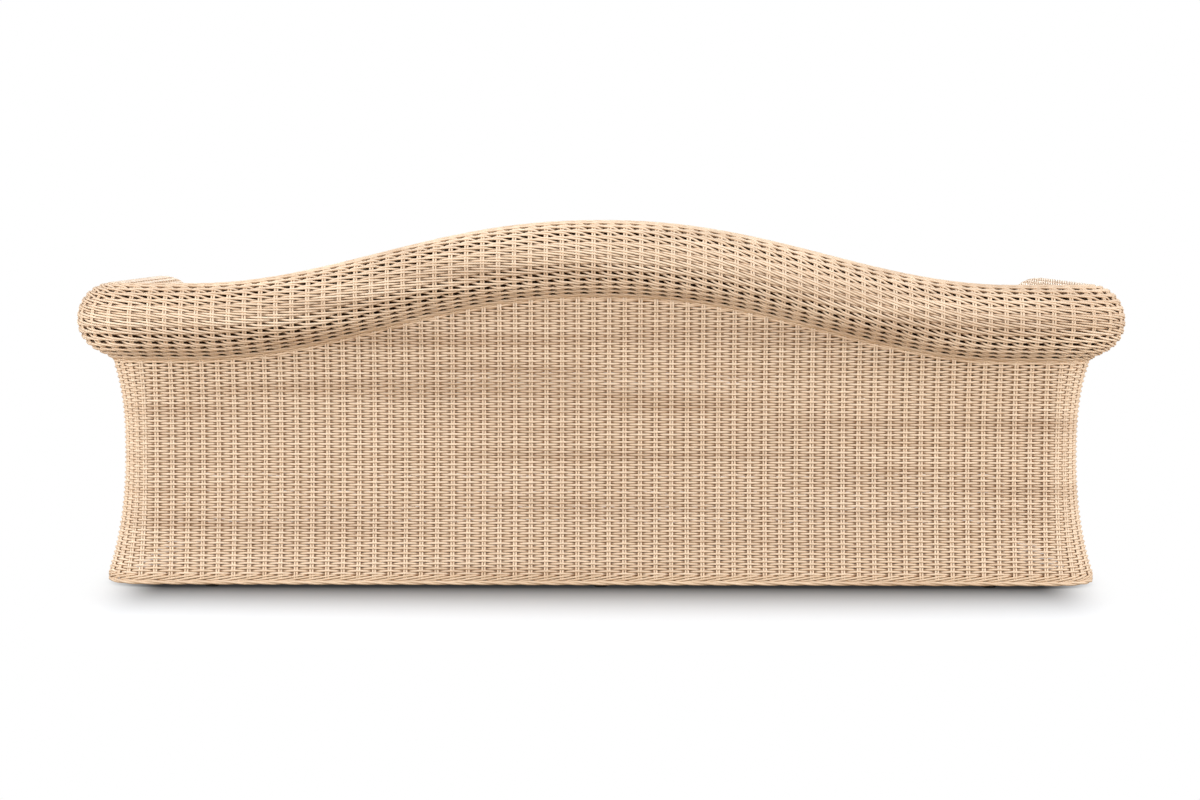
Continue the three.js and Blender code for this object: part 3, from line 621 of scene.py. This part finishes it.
# each strand passes before two pairs of stakes and behind the third, and drops a third of a row at each
def rollSkin(name, nodes, first, last, seed):
    u = steady(first, last)
    third = (rollTo - rollFrom) / coil["rows"] / 3
    wefts, uprights = Guides(), Guides()
    for number in range(math.floor(-last), 3 * coil["rows"] - math.floor(first) + 1):
        angle = rollFrom + third * (number + u + coil["phase"])
        q = np.mod(number + u - 0.5, 3)
        near = np.minimum(q, 3 - q)  # how far along from the stakes it passes behind
        aside = np.clip(np.abs(np.degrees(angle) - coil["tightAt"]) / coil["openOver"], 0, 1)
        depth = -np.cos(math.pi * np.clip((near - coil["behind"]) / coil["passing"], 0, 1))
        lift = coil["midLift"] + (coil["openLift"] - coil["midLift"]) * aside ** coil["openPower"]
        depth = depth * lift - np.maximum(0, lift - 1)
        depth = tucked(depth, np.minimum(angle - rollFrom, rollTo - angle), math.radians(coil["tuck"]))
        for a, b in runsOf((angle > rollFrom) & (angle < rollTo)):
            if b - a > 2:
                wefts.add(*rollPoints(u[a:b], angle[a:b]), depth[a:b], 0, underside(angle[a:b]))
    for number in range(coil["gathered"]):  # gathered rows that cover the strands' ends along the neck
        angle = np.full(len(u), rollFrom + math.radians(coil["gatherFrom"] + number * coil["gatherStep"]))
        depth = twined(u, number) * coil["gatherSwing"] + coil["gatherDepth"]
        wefts.add(*rollPoints(u, angle), depth, 0, underside(angle))
    stakesOn(uprights, alongRoll, halves(first, last), lambda mark: np.linspace(rollFrom, rollTo, 27),
             outwards=coil["stakeOut"])
    meshes = [growStrands(name, wefts, coilLook, coil["strand"], seed, lift=coil["lift"]),
              growStrands(name + "Stakes", uprights, stakeLook, weave["stake"], seed + 1),
              rollShadeWrap(name + "ShadeWrap", first, last)]
    return joinedPiece(name, meshes, nodes)


def alongRoll(mark, angle):
    points, front, upward = rollPoints(mark, angle)
    return points, front, unit(np.cross(upward, front))


rollSkin("back_roll_strands_left", ["back_roll_weave"], backStart, middle, 21)
rollSkin("back_roll_strands_right", ["back_roll_weave"], middle, backEnd, 23)
rollSkin("left_roll_strands", ["left_roll_weave"], armStart, backStart, 25)
rollSkin("right_roll_strands", ["right_roll_weave"], backEnd, armEnd, 27)
print("roll woven")


# inner faces, which lean from the roll down to the seat
def backX(u):
    return -cornerX + (u - stakes["corner"]) / stakes["back"] * 2 * cornerX


def armY(u):
    return cornerY + u / stakes["arm"] * (cornerY - shellFrontY)


def backPoints(u, z):
    x = backX(u)
    spot = np.stack([x, np.full(len(u), backY)], -1)
    top = rollZ + hump(x)
    return onFace(spot, (0.0, 1.0), z, lambda h: innerOut(h, top, sofa["backLean"]), -1)


def armPoints(u, z):
    spot = np.stack([np.full(len(u), -armX), armY(u)], -1)
    return onFace(spot, (-1.0, 0.0), z, armInnerOut, -1)


# rows that follow the roll where an inner face runs up to it
def gathered(wefts, surface, u, top, inside):
    for number in range(weave["gathered"]):
        height = top[inside] + weave["gatherFrom"] + number * weave["gatherStep"]
        depth = twined(u[inside], number) * weave["gatherSwing"] + weave["gatherDepth"]
        wefts.add(*surface(u[inside], height), depth, 0)


seatEdge = sofa["deckHeight"] + weave["aboveSeat"]


def innerBackSkin(name, first, last, seed):
    u = steady(first, last)
    x = backX(u)
    top = rollZ + hump(x)
    levels = rowLevels(seatEdge, top.max(), lambda z: innerOut(z, top.max(), sofa["backLean"]))
    wefts, uprights = Guides(), Guides()
    rowsOn(wefts, backPoints, u, levels, lambda at, z: (
        (z < top - weave["rowsBelowRoll"]) & (np.abs(x) < armX + armInnerOut(z) + weave["into"])))
    gathered(wefts, backPoints, u, top, np.abs(x) < armX - rollRadius + weave["into"])
    stakesOn(uprights, backPoints, halves(first, last), lambda mark: np.linspace(
        seatEdge, rollZ + float(hump(backX(mark))) + weave["stakePast"], 14))
    return wovenPiece(name, ["inner_back_weave"], wefts, uprights, seed, weave["innerSides"])


apronBack = apronY - float(outerOut(sofa["deckHeight"])) + sofa["skin"]
footEdge = sofa["borderTop"] + weave["aboveFoot"]


def innerArmGuides():
    u = steady(armStart, 1)
    y = armY(u)
    levels = rowLevels(footEdge, rollZ - weave["rowsBelowRoll"], armInnerOut)
    wefts, uprights = Guides(), Guides()
    rowsOn(wefts, armPoints, u, levels, lambda at, z: y < (
        apronBack if z < sofa["deckHeight"]
        else backY + float(innerOut(z, rollZ, sofa["backLean"])) + weave["into"]))
    gathered(wefts, armPoints, u, np.full(len(u), rollZ), y < backY - rollRadius + weave["into"])
    inFront = armStart + weave["frontStakes"]
    stakesOn(uprights, armPoints, halves(armStart, weave["pastCorner"]), lambda mark: np.linspace(
        footEdge if mark < inFront else seatEdge, rollZ + weave["stakePast"], 14))
    return wefts, uprights


innerBackSkin("inner_back_strands_left", stakes["corner"] - 0.5, middle, 31)
innerBackSkin("inner_back_strands_right", middle, backEnd - stakes["corner"] + 0.5, 33)
armWefts, armUprights = innerArmGuides()
wovenPiece("left_inner_strands", ["left_inner_weave"], armWefts, armUprights, 35, weave["innerSides"])
wovenPiece("right_inner_strands", ["right_inner_weave"], armWefts.mirrored(), armUprights.mirrored(), 37,
           weave["innerSides"])
print("inner skins woven")

# apron under the front of the seat
stakeStep = 2 * cornerX / stakes["back"]


def apronPoints(u, z):
    spot = np.stack([u * stakeStep, np.full(len(u), apronY)], -1)
    return onFace(spot, (0.0, -1.0), z, outerOut, 1)


def apronSkin():
    reach = (armInner - weave["apronGap"]) / stakeStep
    wefts, uprights = Guides(), Guides()
    levels = rowLevels(sofa["borderTop"] + weave["aboveBorder"], sofa["deckHeight"], outerOut)
    rowsOn(wefts, apronPoints, steady(-reach, reach), levels, everywhere)
    stakesOn(uprights, apronPoints, halves(-reach, reach),
             lambda mark: np.linspace(sofa["borderTop"] - weave["stakeBelow"], sofa["deckHeight"], 12))
    return wovenPiece("front_apron_strands", ["front_apron_weave"], wefts, uprights, 41, weave["innerSides"])


apronSkin()

# deck that carries the cushions: a coarser weave, lying flat
deck = {"row": 0.0088, "strand": 0.0034, "stakeStep": 0.055, "stake": 0.0030, "stakeApart": 0.0032,
        "sides": 4, "lift": 0.0024, "sink": 0.0060, "edge": 0.064, "clear": 0.002, "corner": 0.02}


def deckPoints(u, y):
    level = np.full(len(u), sofa["deckHeight"] - deck["sink"])
    return np.stack([u * deck["stakeStep"], y, level], -1), upWay, rightWay


def deckSkin():
    front = apronBack + deck["clear"]
    back = backY - deck["edge"] - deck["clear"]
    reach = armX - deck["edge"] - deck["clear"]
    levels = np.arange(front + deck["row"] / 2, back, deck["row"])
    u = steady(-reach / deck["stakeStep"], reach / deck["stakeStep"])
    wefts, uprights = Guides(), Guides()
    rowsOn(wefts, deckPoints, u, levels,
           lambda at, y: np.abs(at) * deck["stakeStep"] < reach - max(0, y - back + deck["corner"]))
    stakesOn(uprights, deckPoints, halves(u[0], u[-1]),
             lambda mark: np.array([front, back - (deck["corner"] if abs(mark) > u[-1] - 1 else 0)]),
             deck["stakeApart"], 0)
    return wovenPiece("seat_deck_strands", ["seat_deck_weave"], wefts, uprights, 43, deck["sides"], deck)


deckSkin()
print("apron and deck woven")

# arm facings: rows across the panel, and rings round the end of the roll
facing = {"inset": 0.0167, "panelStakes": 3, "spokes": 10, "firstRing": 0.010, "rings": 11, "under": 0.002,
          "thick": 0.0065, "edgeIn": 0.0018, "past": 0.002, "aside": 0.08, "topGap": 0.006,
          "heartFrom": 0.0015, "heartGap": 0.004, "heartTurns": 1.6, "spokeFrom": 0.008, "spokeApart": 0.0022,
          "stakeOut": 0.0008, "strand": 0.0026, "stake": 0.0022, "lift": 0.0032, "heartDepth": 0.6,
          "slopeTo": -38, "kneeGap": 0.001}
scrollRadius = rollRadius - facing["inset"] - facing["edgeIn"]


def facingOut(share, z):
    low = armInnerOut(np.maximum(z, sofa["deckHeight"])) + facing["inset"]
    slope = rollSection(np.linspace(rollFrom, math.radians(facing["slopeTo"]), 20), facing["inset"])[0]
    heights = np.linspace(0, slope[0, 1] + rollZ - facing["kneeGap"], 20)
    outs = outerOut(heights) - facing["inset"]
    high = np.interp(z, np.append(heights, slope[:, 1] + rollZ), np.append(outs, slope[:, 0]))
    return low + share / facing["panelStakes"] * (high - low)


# points on a facing, at a distance out from the roll's centre and a height
def onFacing(out, z):
    return np.stack([-armX - out, np.full(len(out), facingY + facing["thick"]), z], -1)


def facingPoints(share, z):
    return onFacing(facingOut(share, z), z), frontWay, -rightWay


def scrollPoints(turn, radius):
    angle = turn / facing["spokes"] * 2 * math.pi
    points = onFacing(-radius * np.cos(angle), rollZ + radius * np.sin(angle))
    return points, frontWay, np.stack([-np.sin(angle), np.zeros(len(angle)), np.cos(angle)], -1)


def outsideScroll(share, z):
    out = facingOut(share, np.full(len(share), z))
    return np.hypot(out, z - rollZ) > scrollRadius - facing["under"]


def facingGuides():
    wefts, uprights = Guides(), Guides()
    panel, spokes = facing["panelStakes"], facing["spokes"]
    levels = np.arange(footEdge, rollZ - facing["topGap"], weave["row"])
    across = np.linspace(-facing["aside"], panel + facing["aside"], 37)
    rowsOn(wefts, facingPoints, across, levels, outsideScroll)
    rings = np.linspace(facing["firstRing"], scrollRadius, facing["rings"])
    rowsOn(wefts, scrollPoints, np.linspace(0, spokes, spokes * 4 + 1), rings, everywhere)
    heart = np.linspace(0, spokes * facing["heartTurns"], 24)
    radii = np.linspace(facing["heartFrom"], facing["firstRing"] - facing["heartGap"], 24)
    wefts.add(*scrollPoints(heart, radii), facing["heartDepth"], 0)
    stakesOn(uprights, facingPoints, halves(0, panel),
             lambda mark: np.linspace(sofa["borderTop"], rollZ - scrollRadius - facing["past"], 14),
             outwards=facing["stakeOut"])
    stakesOn(uprights, scrollPoints, halves(0, spokes),
             lambda mark: np.linspace(facing["spokeFrom"], scrollRadius + facing["past"], 4),
             facing["spokeApart"], facing["stakeOut"])
    return wefts, uprights


facingWefts, facingUprights = facingGuides()
for word, wefts, uprights, seed in (("left", facingWefts, facingUprights, 51),
                                    ("right", facingWefts.mirrored(), facingUprights.mirrored(), 53)):
    wovenPiece(word + "_facing_strands", [word + "_arm_facing"], wefts, uprights, seed, sizes=facing)
print("arm facings woven")


# ropes of a few strands wound round a line
def addRope(guides, line, side, up, count, strands, radius, turns, paintedShade=0):
    for k in range(strands):
        angle = 2 * math.pi * (k / strands + count * turns)
        wound = side * np.cos(angle)[:, None] + up * np.sin(angle)[:, None]
        guides.add(line + wound * radius, side, up, 0, 0, paintedShade)


edging = {"strands": 4, "strand": 0.0034, "radius": 0.0043, "turn": 0.062, "step": 0.0062, "wander": 0.0003,
          "foot": 0.002, "headGap": 0.004}


def edgingLine():
    r, bottom = sofa["edgingRadius"], sofa["borderTop"] + edging["foot"]
    low = np.linspace(bottom, armNeck - coil["slopeDrop"] - edging["headGap"], 30)
    head = rollSection(np.linspace(rollFrom, rollTo, 40), r)[0]
    high = np.linspace(rollZ, sofa["deckHeight"], 20)[1:]
    inner = armInnerOut(high) + r
    outs = np.concatenate([outerOut(low) - r, head[:, 0], inner, inner[-1:]])
    heights = np.concatenate([low, rollZ + head[:, 1], high, [bottom]])
    length = lengthAlong(outs, heights)
    at = np.arange(0, length[-1], edging["step"])
    return np.interp(at, length, outs), np.interp(at, length, heights), at


def edgingGuides():
    out, z, at = edgingLine()
    line = np.stack([-armX - out, np.full(len(out), frontY + sofa["edgingRadius"]), z], -1)
    up = unit(np.cross(unit(np.gradient(line, axis=0)), frontWay))
    guides = Guides()
    addRope(guides, line, frontWay, up, at / edging["turn"], edging["strands"], edging["radius"], 1)
    return guides


edgingPaths = edgingGuides()
for word, guides, seed in (("left", edgingPaths, 61), ("right", edgingPaths.mirrored(), 63)):
    mesh = growStrands(word + "Edging", guides, coreLook, edging["strand"], seed, wander=edging["wander"])
    joinedPiece(word + "_edging_plait", [mesh], [word + "_arm_edging"])

# border round the foot: a plaited row over a rolled rim
foot = {"plaitHeight": 0.0226, "plait": 0.0027, "lift": 0.0030, "spread": 0.0056, "sink": 0.0062,
        "rimHeight": 0.0118, "rimRadius": 0.0026, "rimStrand": 0.0035, "rimStrands": 3, "rimTurns": 0.22,
        "plaits": 3, "run": 3.0, "climb": 0.62, "out": 0.55, "shade": 1.0, "wander": 0.0005, "sides": 5,
        "gap": 0.001}


# a strand climbs in front of the others, then drops behind them
def plaitPath(count, number):
    q, climb = np.mod(number / foot["plaits"] + count / foot["run"], 1), foot["climb"]
    climbing = q < climb
    drop = math.pi * (q - climb) / (1 - climb)
    depth = np.where(climbing, foot["out"] + (1 - foot["out"]) * np.sin(math.pi * q / climb), -np.sin(drop))
    return depth, np.where(climbing, 2 * q / climb - 1, np.cos(drop))


def addBorder(plaits, rims, spot, out, count):
    front = np.concatenate([out, np.zeros((len(out), 1))], -1)
    line = place(spot, out, borderOut - foot["sink"], foot["plaitHeight"])
    # plaits and rim take the foot's shade amount as painted shade, which browns and darkens the whole border
    for number in range(foot["plaits"]):
        plaits.add(line, front, upWay, *plaitPath(-count, number), foot["shade"])
    rim = place(spot, out, borderOut - foot["rimRadius"] - foot["rimStrand"], foot["rimHeight"])
    addRope(rims, rim, front, upWay, count, foot["rimStrands"], foot["rimRadius"], foot["rimTurns"],
            foot["shade"])


# along one arm, round its front corner and up to the apron
def sideTrack():
    lineY, r = frontY + borderOut, sofa["borderTurn"]
    straight = np.linspace(cornerY, lineY + r, 76)
    angle = np.linspace(math.pi / 2, math.pi, 7)[1:]
    ahead = np.linspace(-armX + r, -armInner, 10)[1:]
    long, short = len(straight), len(ahead)
    x = np.concatenate([np.full(long, -armX), -(armX - r) - r * np.sin(angle), ahead])
    y = np.concatenate([straight, lineY + r + r * np.cos(angle), np.full(short, lineY)])
    outX = np.concatenate([np.full(long, -1.0), -np.sin(angle), np.zeros(short)])
    outY = np.concatenate([np.zeros(long), np.cos(angle), np.full(short, -1.0)])
    length = lengthAlong(x + outX * borderOut, y + outY * borderOut)
    return np.stack([x, y], -1), np.stack([outX, outY], -1), -length / stakeStep


def borderPiece(name, node, plaits, rims, seed):
    meshes = [growStrands(name, plaits, coreLook, foot["plait"], seed, foot["sides"], foot["lift"],
                          foot["wander"], foot["spread"]),
              growStrands(name + "Rim", rims, coreLook, foot["rimStrand"], seed + 1, wander=foot["wander"])]
    return joinedPiece(name, meshes, [node])


backPlaits, backRims, sidePlaits, sideRims, frontPlaits, frontRims = [Guides() for _ in range(6)]
backCount = steady(backStart, backEnd)
addBorder(backPlaits, backRims, *wayRound(backCount)[:2], backCount)
addBorder(sidePlaits, sideRims, *sideTrack())
frontReach = (armInner - foot["gap"]) / stakeStep
frontCount = steady(-frontReach, frontReach)
frontSpot = np.stack([frontCount * stakeStep, np.full(len(frontCount), apronY)], -1)
addBorder(frontPlaits, frontRims, frontSpot, np.broadcast_to((0.0, -1.0), frontSpot.shape), frontCount)
borderPiece("border_back_plait", "border_back", backPlaits, backRims, 71)
borderPiece("border_left_plait", "border_left", sidePlaits, sideRims, 73)
borderPiece("border_right_plait", "border_right", sidePlaits.mirrored(), sideRims.mirrored(), 75)
borderPiece("border_front_plait", "border_front", frontPlaits, frontRims, 77)
print("edgings and borders plaited")

# seat cushions: boxed foam in canvas, held along its two piped seams and blown out between them
cushion = {"voxel": 0.0105, "pressure": 3.2, "cap": 0.018, "frames": 20, "seamInset": 0.0066, "corner": 0.039,
           "seamHeights": (0.0082, 0.1108), "hold": 0.0075, "pull": 0.0045, "room": 0.0010,
           "frontRoom": 0.0060, "pipe": 0.0046, "pipeOut": 0.0022, "pipeSides": 8, "seamPoints": 360,
           "fill": 0.75}


def canvasTones(wires):
    spot = wires.objectSpot()
    slub = wires.noise(spot, 420.0)
    tone = wires.toned(wires.noise(spot, 7.0, 4.0), (0.70, 0.62, 0.50), (0.80, 0.73, 0.61), (0.3, 0.7))
    fleck = wires.mixed(0.35, tone, slub, "MULTIPLY")
    threads = [wires.node("ShaderNodeTexWave", {"Vector": spot, "Scale": 330.0}, "Fac", bands_direction=way)
               for way in ("X", "Y")]
    height = wires.math("ADD", wires.times(*threads), slub)
    return {"Base Color": wires.mixed(0.35, fleck, tone), "Roughness": 0.92, "Specular IOR Level": 0.15,
            "Sheen Weight": 0.15, "Normal": wires.bumped(height, 0.35)}


canvasLook = newMaterial("canvas", canvasTones)


# a rounded rectangle whose sides are drawn in between its corners
def seamLoop(low, high, z):
    centre, half, r = (low + high) / 2, (high - low) / 2 - cushion["seamInset"], cushion["corner"]
    count = cushion["seamPoints"]
    points, ways = [], []
    for sx, sy, start in ((1, -1, -90), (1, 1, 0), (-1, 1, 90), (-1, -1, 180)):
        for turn in np.radians(np.linspace(start, start + 90, 9)):
            way = np.array([math.cos(turn), math.sin(turn)])
            points.append([sx * (half[0] - r) + r * way[0], sy * (half[1] - r) + r * way[1]])
            ways.append(way)
    points, ways = np.array(points + points[:1]), np.array(ways + ways[:1])
    length = lengthAlong(points[:, 0], points[:, 1])
    at = np.linspace(0, length[-1], count + 1)[:-1]
    flat, way = [np.stack([np.interp(at, length, array[:, k]) for k in (0, 1)], -1)
                 for array in (points, ways)]
    way = unit(way)
    reach = half - r
    share = np.where(np.abs(way[:, 0]) > np.abs(way[:, 1]), flat[:, 1] / reach[1], flat[:, 0] / reach[0])
    flat = flat - way * (cushion["pull"] * np.clip(1 - share ** 2, 0, 1))[:, None]
    loop = np.concatenate([flat + centre[:2], np.full((count, 1), low[2] + z)], -1)
    return loop, np.concatenate([way, np.zeros((count, 1))], -1)


def distanceTo(loops, points):
    tree = KDTree(len(loops))
    for index, spot in enumerate(loops):
        tree.insert(spot, index)
    tree.balance()
    return np.array([tree.find(p)[2] for p in points])


# the object's mesh with its modifiers applied; the object itself goes
def settled(obj):
    bpy.context.view_layer.update()
    data = bpy.data.meshes.new_from_object(obj.evaluated_get(bpy.context.evaluated_depsgraph_get()))
    bpy.data.objects.remove(obj)
    return data


def coordinates(data):
    spots = np.empty(len(data.vertices) * 3)
    data.vertices.foreach_get("co", spots)
    return spots.reshape(-1, 3)


def remeshed(node):
    source = linked(node.name + "Form", node.data.copy())
    source.modifiers.new("weld", "WELD").merge_threshold = 0.00001
    grid = source.modifiers.new("grid", "REMESH")
    grid.mode = "VOXEL"
    grid.voxel_size = cushion["voxel"]
    grid.use_smooth_shade = True
    return settled(source)


def blownUp(data, held, loose):
    obj = linked("cushionForm", data)
    group = obj.vertex_groups.new(name="seam")
    group.add([int(i) for i in np.where(held)[0]], 1.0, "REPLACE")
    cloth = obj.modifiers.new("cloth", "CLOTH")
    settings = cloth.settings
    for key, value in {"quality": 5, "mass": 0.25, "tension_stiffness": 18, "compression_stiffness": 18,
                       "shear_stiffness": 8, "bending_stiffness": 0.6, "vertex_group_mass": "seam",
                       "pin_stiffness": 1.0, "shrink_min": loose, "use_pressure": True,
                       "uniform_pressure_force": cushion["pressure"]}.items():
        setattr(settings, key, value)
    settings.effector_weights.gravity = 0
    cloth.point_cache.frame_start = 1
    cloth.point_cache.frame_end = cushion["frames"]
    for number in range(1, cushion["frames"] + 1):
        scene.frame_set(number)
    after = bpy.data.meshes.new_from_object(obj.evaluated_get(bpy.context.evaluated_depsgraph_get()))
    scene.frame_set(1)
    bpy.data.objects.remove(obj)
    return after


# the cushion's form after the simulation, kept near the solid's own space
def puffed(data, loops, low, high, loose):
    before = coordinates(data)
    data = blownUp(data, distanceTo(loops, before) < cushion["hold"], loose)
    move = coordinates(data) - before
    far = np.linalg.norm(move, axis=1, keepdims=True)
    after = before + move * np.minimum(1, cushion["cap"] / np.maximum(far, 1e-9))
    room = cushion["room"]
    after[:, 0] = np.clip(after[:, 0], low[0] - room, high[0] + room)
    after[:, 1] = np.clip(after[:, 1], low[1] - cushion["frontRoom"], high[1] + room)
    after[:, 2] = np.maximum(after[:, 2], low[2])
    data.vertices.foreach_set("co", after.ravel())
    data.update()
    return data


def softCushion(name, nodeName, loose, seed):
    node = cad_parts[nodeName]
    spots = coordinates(node.data)
    low, high = spots.min(0), spots.max(0)
    seams = [seamLoop(low, high, z) for z in cushion["seamHeights"]]
    data = remeshed(node)
    data = puffed(data, np.concatenate([loop for loop, way in seams]), low, high, loose)
    body = linked(name + "Body", data)
    finer = body.modifiers.new("finer", "SUBSURF")
    finer.levels = finer.render_levels = 1
    fine = settled(body)
    spots = coordinates(fine)
    spots[:, 2] = np.maximum(spots[:, 2], low[2])
    fine.vertices.foreach_set("co", spots.ravel())
    fine.update()
    fine.materials.clear()
    fine.materials.append(canvasLook)
    pipes = Guides()
    for loop, way in seams:
        line = loop + way * cushion["pipeOut"]
        line[:, :2] = np.clip(line[:, :2], low[:2] + cushion["pipe"], high[:2] - cushion["pipe"])
        pipes.add(np.concatenate([line, line[:1]]), (0, 0, 1.0), (0, 0, 1.0), 0, 0)
    sides = cushion["pipeSides"]
    piping = growStrands(name + "Piping", pipes, canvasLook, cushion["pipe"], seed, sides, 0, 0)
    joinedPiece(name, [fine, piping], [nodeName])


for word, loose, seed in (("left", -0.020, 81), ("middle", -0.025, 83), ("right", -0.022, 85)):
    softCushion("seat_cushion_" + word + "_soft", "seat_cushion_" + word, loose, seed)
print("cushions filled")


# poles, and other CAD nodes that keep their shape
def poleTones(wires):
    noise = wires.noise(wires.objectSpot(), 9.0, 5.0)
    return {"Base Color": wires.toned(noise, (0.42, 0.25, 0.11), (0.62, 0.42, 0.22), (0.3, 0.7)),
            "Roughness": wires.ranged(noise, 0.0, 1.0, 0.38, 0.6)}


def glideTones(wires):
    noise = wires.noise(wires.objectSpot(), 60.0, 3.0)
    return {"Base Color": (0.028, 0.025, 0.022, 1), "Roughness": wires.ranged(noise, 0.0, 1.0, 0.45, 0.7)}


poleLook, glideLook = newMaterial("rattanPole", poleTones), newMaterial("glide", glideTones)
for name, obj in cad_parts.items():
    obj.data.materials.clear()
    obj.data.materials.append(glideLook if name.startswith("glide") else poleLook)
print("CAD nodes dressed")

# floor, world and lamps
stageSet = {"floorSide": 14.0, "floorSeen": (0.866, 0.888, 0.914), "floorLit": (0.50, 0.50, 0.50, 1),
            "shadowBox": (1.00, 0.105, 0.0), "shadowTurn": 0.30, "shadowEnds": (4.0, 1.0, 1.0),
            "shadowReach": 0.62, "shadowPower": 2.0, "shadowDepth": 0.95, "shadowLeast": 0.035,
            "clear": (0.70, 1.30), "clearEnds": (1.02, 1.22), "worldLit": 0.57, "worldSeen": 1.0}


# each lamp's power, size, place and the spot it points at
lamps = {
    "topLamp": (25.0, (4.0, 3.0), (0.6, 0.4, 3.6), (0, 0.1, 0.4)),
    "frontLamp": (115.0, (3.0, 2.0), (-0.8, -4.6, 2.4), (0, 0, 0.4)),
    "leftLamp": (50.0, (1.5, 1.5), (3.6, 1.6, 1.1), (1.0, 0.2, 0.5)),
    "rightLamp": (57.0, (1.5, 1.5), (-3.6, 1.6, 1.1), (-1.0, 0.2, 0.5)),
    "keyLamp": (119.0, (3.0, 2.0), (0.6, 4.9, 2.1), (0, 0.3, 0.4)),
}


# a pale floor that keeps the sofa's real soft shadow, deepened round its footprint by a painted shadow with a
# faint painted glow in it, and turns pure white further off
def makeFloor():
    data = bpy.data.meshes.new("floor")
    side = stageSet["floorSide"]
    corners = [(-side, -side, 0), (side, -side, 0), (side, side, 0), (-side, side, 0)]
    data.from_pydata(corners, [], [(0, 1, 2, 3)])
    material = bpy.data.materials.new("floorWhite")
    material.use_nodes = True
    material.node_tree.nodes.clear()
    wires = Wiring(material.node_tree)
    node, vector = wires.node, wires.vector
    seen = node("ShaderNodeLightPath", {}, "Is Camera Ray")
    spot = vector("ABSOLUTE", wires.objectSpot())
    beyond = vector("MAXIMUM", vector("SUBTRACT", spot, stageSet["shadowBox"]), (0.0, 0.0, 0.0))
    distance = vector("LENGTH", vector("MULTIPLY", beyond, stageSet["shadowEnds"]))
    turn = stageSet["shadowTurn"]
    # painted shadow: the floor darker the nearer it lies to the sofa's footprint
    near = wires.ranged(distance, turn, turn + stageSet["shadowReach"], 1.0, 0.0)
    shade = wires.ranged(wires.math("POWER", near, stageSet["shadowPower"]), 0.0, 1.0,
                         1.0, 1.0 - stageSet["shadowDepth"])
    tone = wires.mixed(seen, stageSet["floorLit"], vector("SCALE", stageSet["floorSeen"], shade))
    # painted glow: a faint camera-only light over the floor, which lifts the darkest shadow
    glow = node("ShaderNodeEmission", {"Strength": wires.times(seen, stageSet["shadowLeast"])})
    lit = node("ShaderNodeAddShader", {0: node("ShaderNodeBsdfDiffuse", {"Color": tone}), 1: glow})
    far = wires.ranged(distance, *stageSet["clear"], kind="SMOOTHSTEP")
    ends = wires.ranged(node("ShaderNodeSeparateXYZ", {0: spot}), *stageSet["clearEnds"], kind="SMOOTHSTEP")
    cleared = wires.times(wires.math("MAXIMUM", far, ends), seen)
    surface = node("ShaderNodeMixShader", {0: cleared, 1: lit, 2: node("ShaderNodeEmission", {})})
    node("ShaderNodeOutputMaterial", {"Surface": surface})
    data.materials.append(material)
    linked("floor", data)


def makeWorld():
    world = bpy.data.worlds.new("studio")
    scene.world = world
    world.use_nodes = True
    world.node_tree.nodes.clear()
    node = Wiring(world.node_tree).node
    lit, seen = [node("ShaderNodeBackground", {"Color": (1, 1, 1, 1), "Strength": stageSet[word]})
                 for word in ("worldLit", "worldSeen")]
    toCamera = node("ShaderNodeLightPath", {}, "Is Camera Ray")
    node("ShaderNodeOutputWorld", {0: node("ShaderNodeMixShader", {0: toCamera, 1: lit, 2: seen})})


def makeLamp(name, power, size, location, target):
    data = bpy.data.lights.new(name, "AREA")
    data.energy = power
    data.shape = "RECTANGLE"
    data.size, data.size_y = size
    obj = linked(name, data)
    obj.location = location
    aim = [t - l for t, l in zip(target, location)]
    obj.rotation_euler = (math.atan2(math.hypot(aim[0], aim[1]), -aim[2]), 0, math.atan2(-aim[0], aim[1]))


makeFloor()
makeWorld()
for name, settings in lamps.items():
    makeLamp(name, *settings)
print("stage lit")
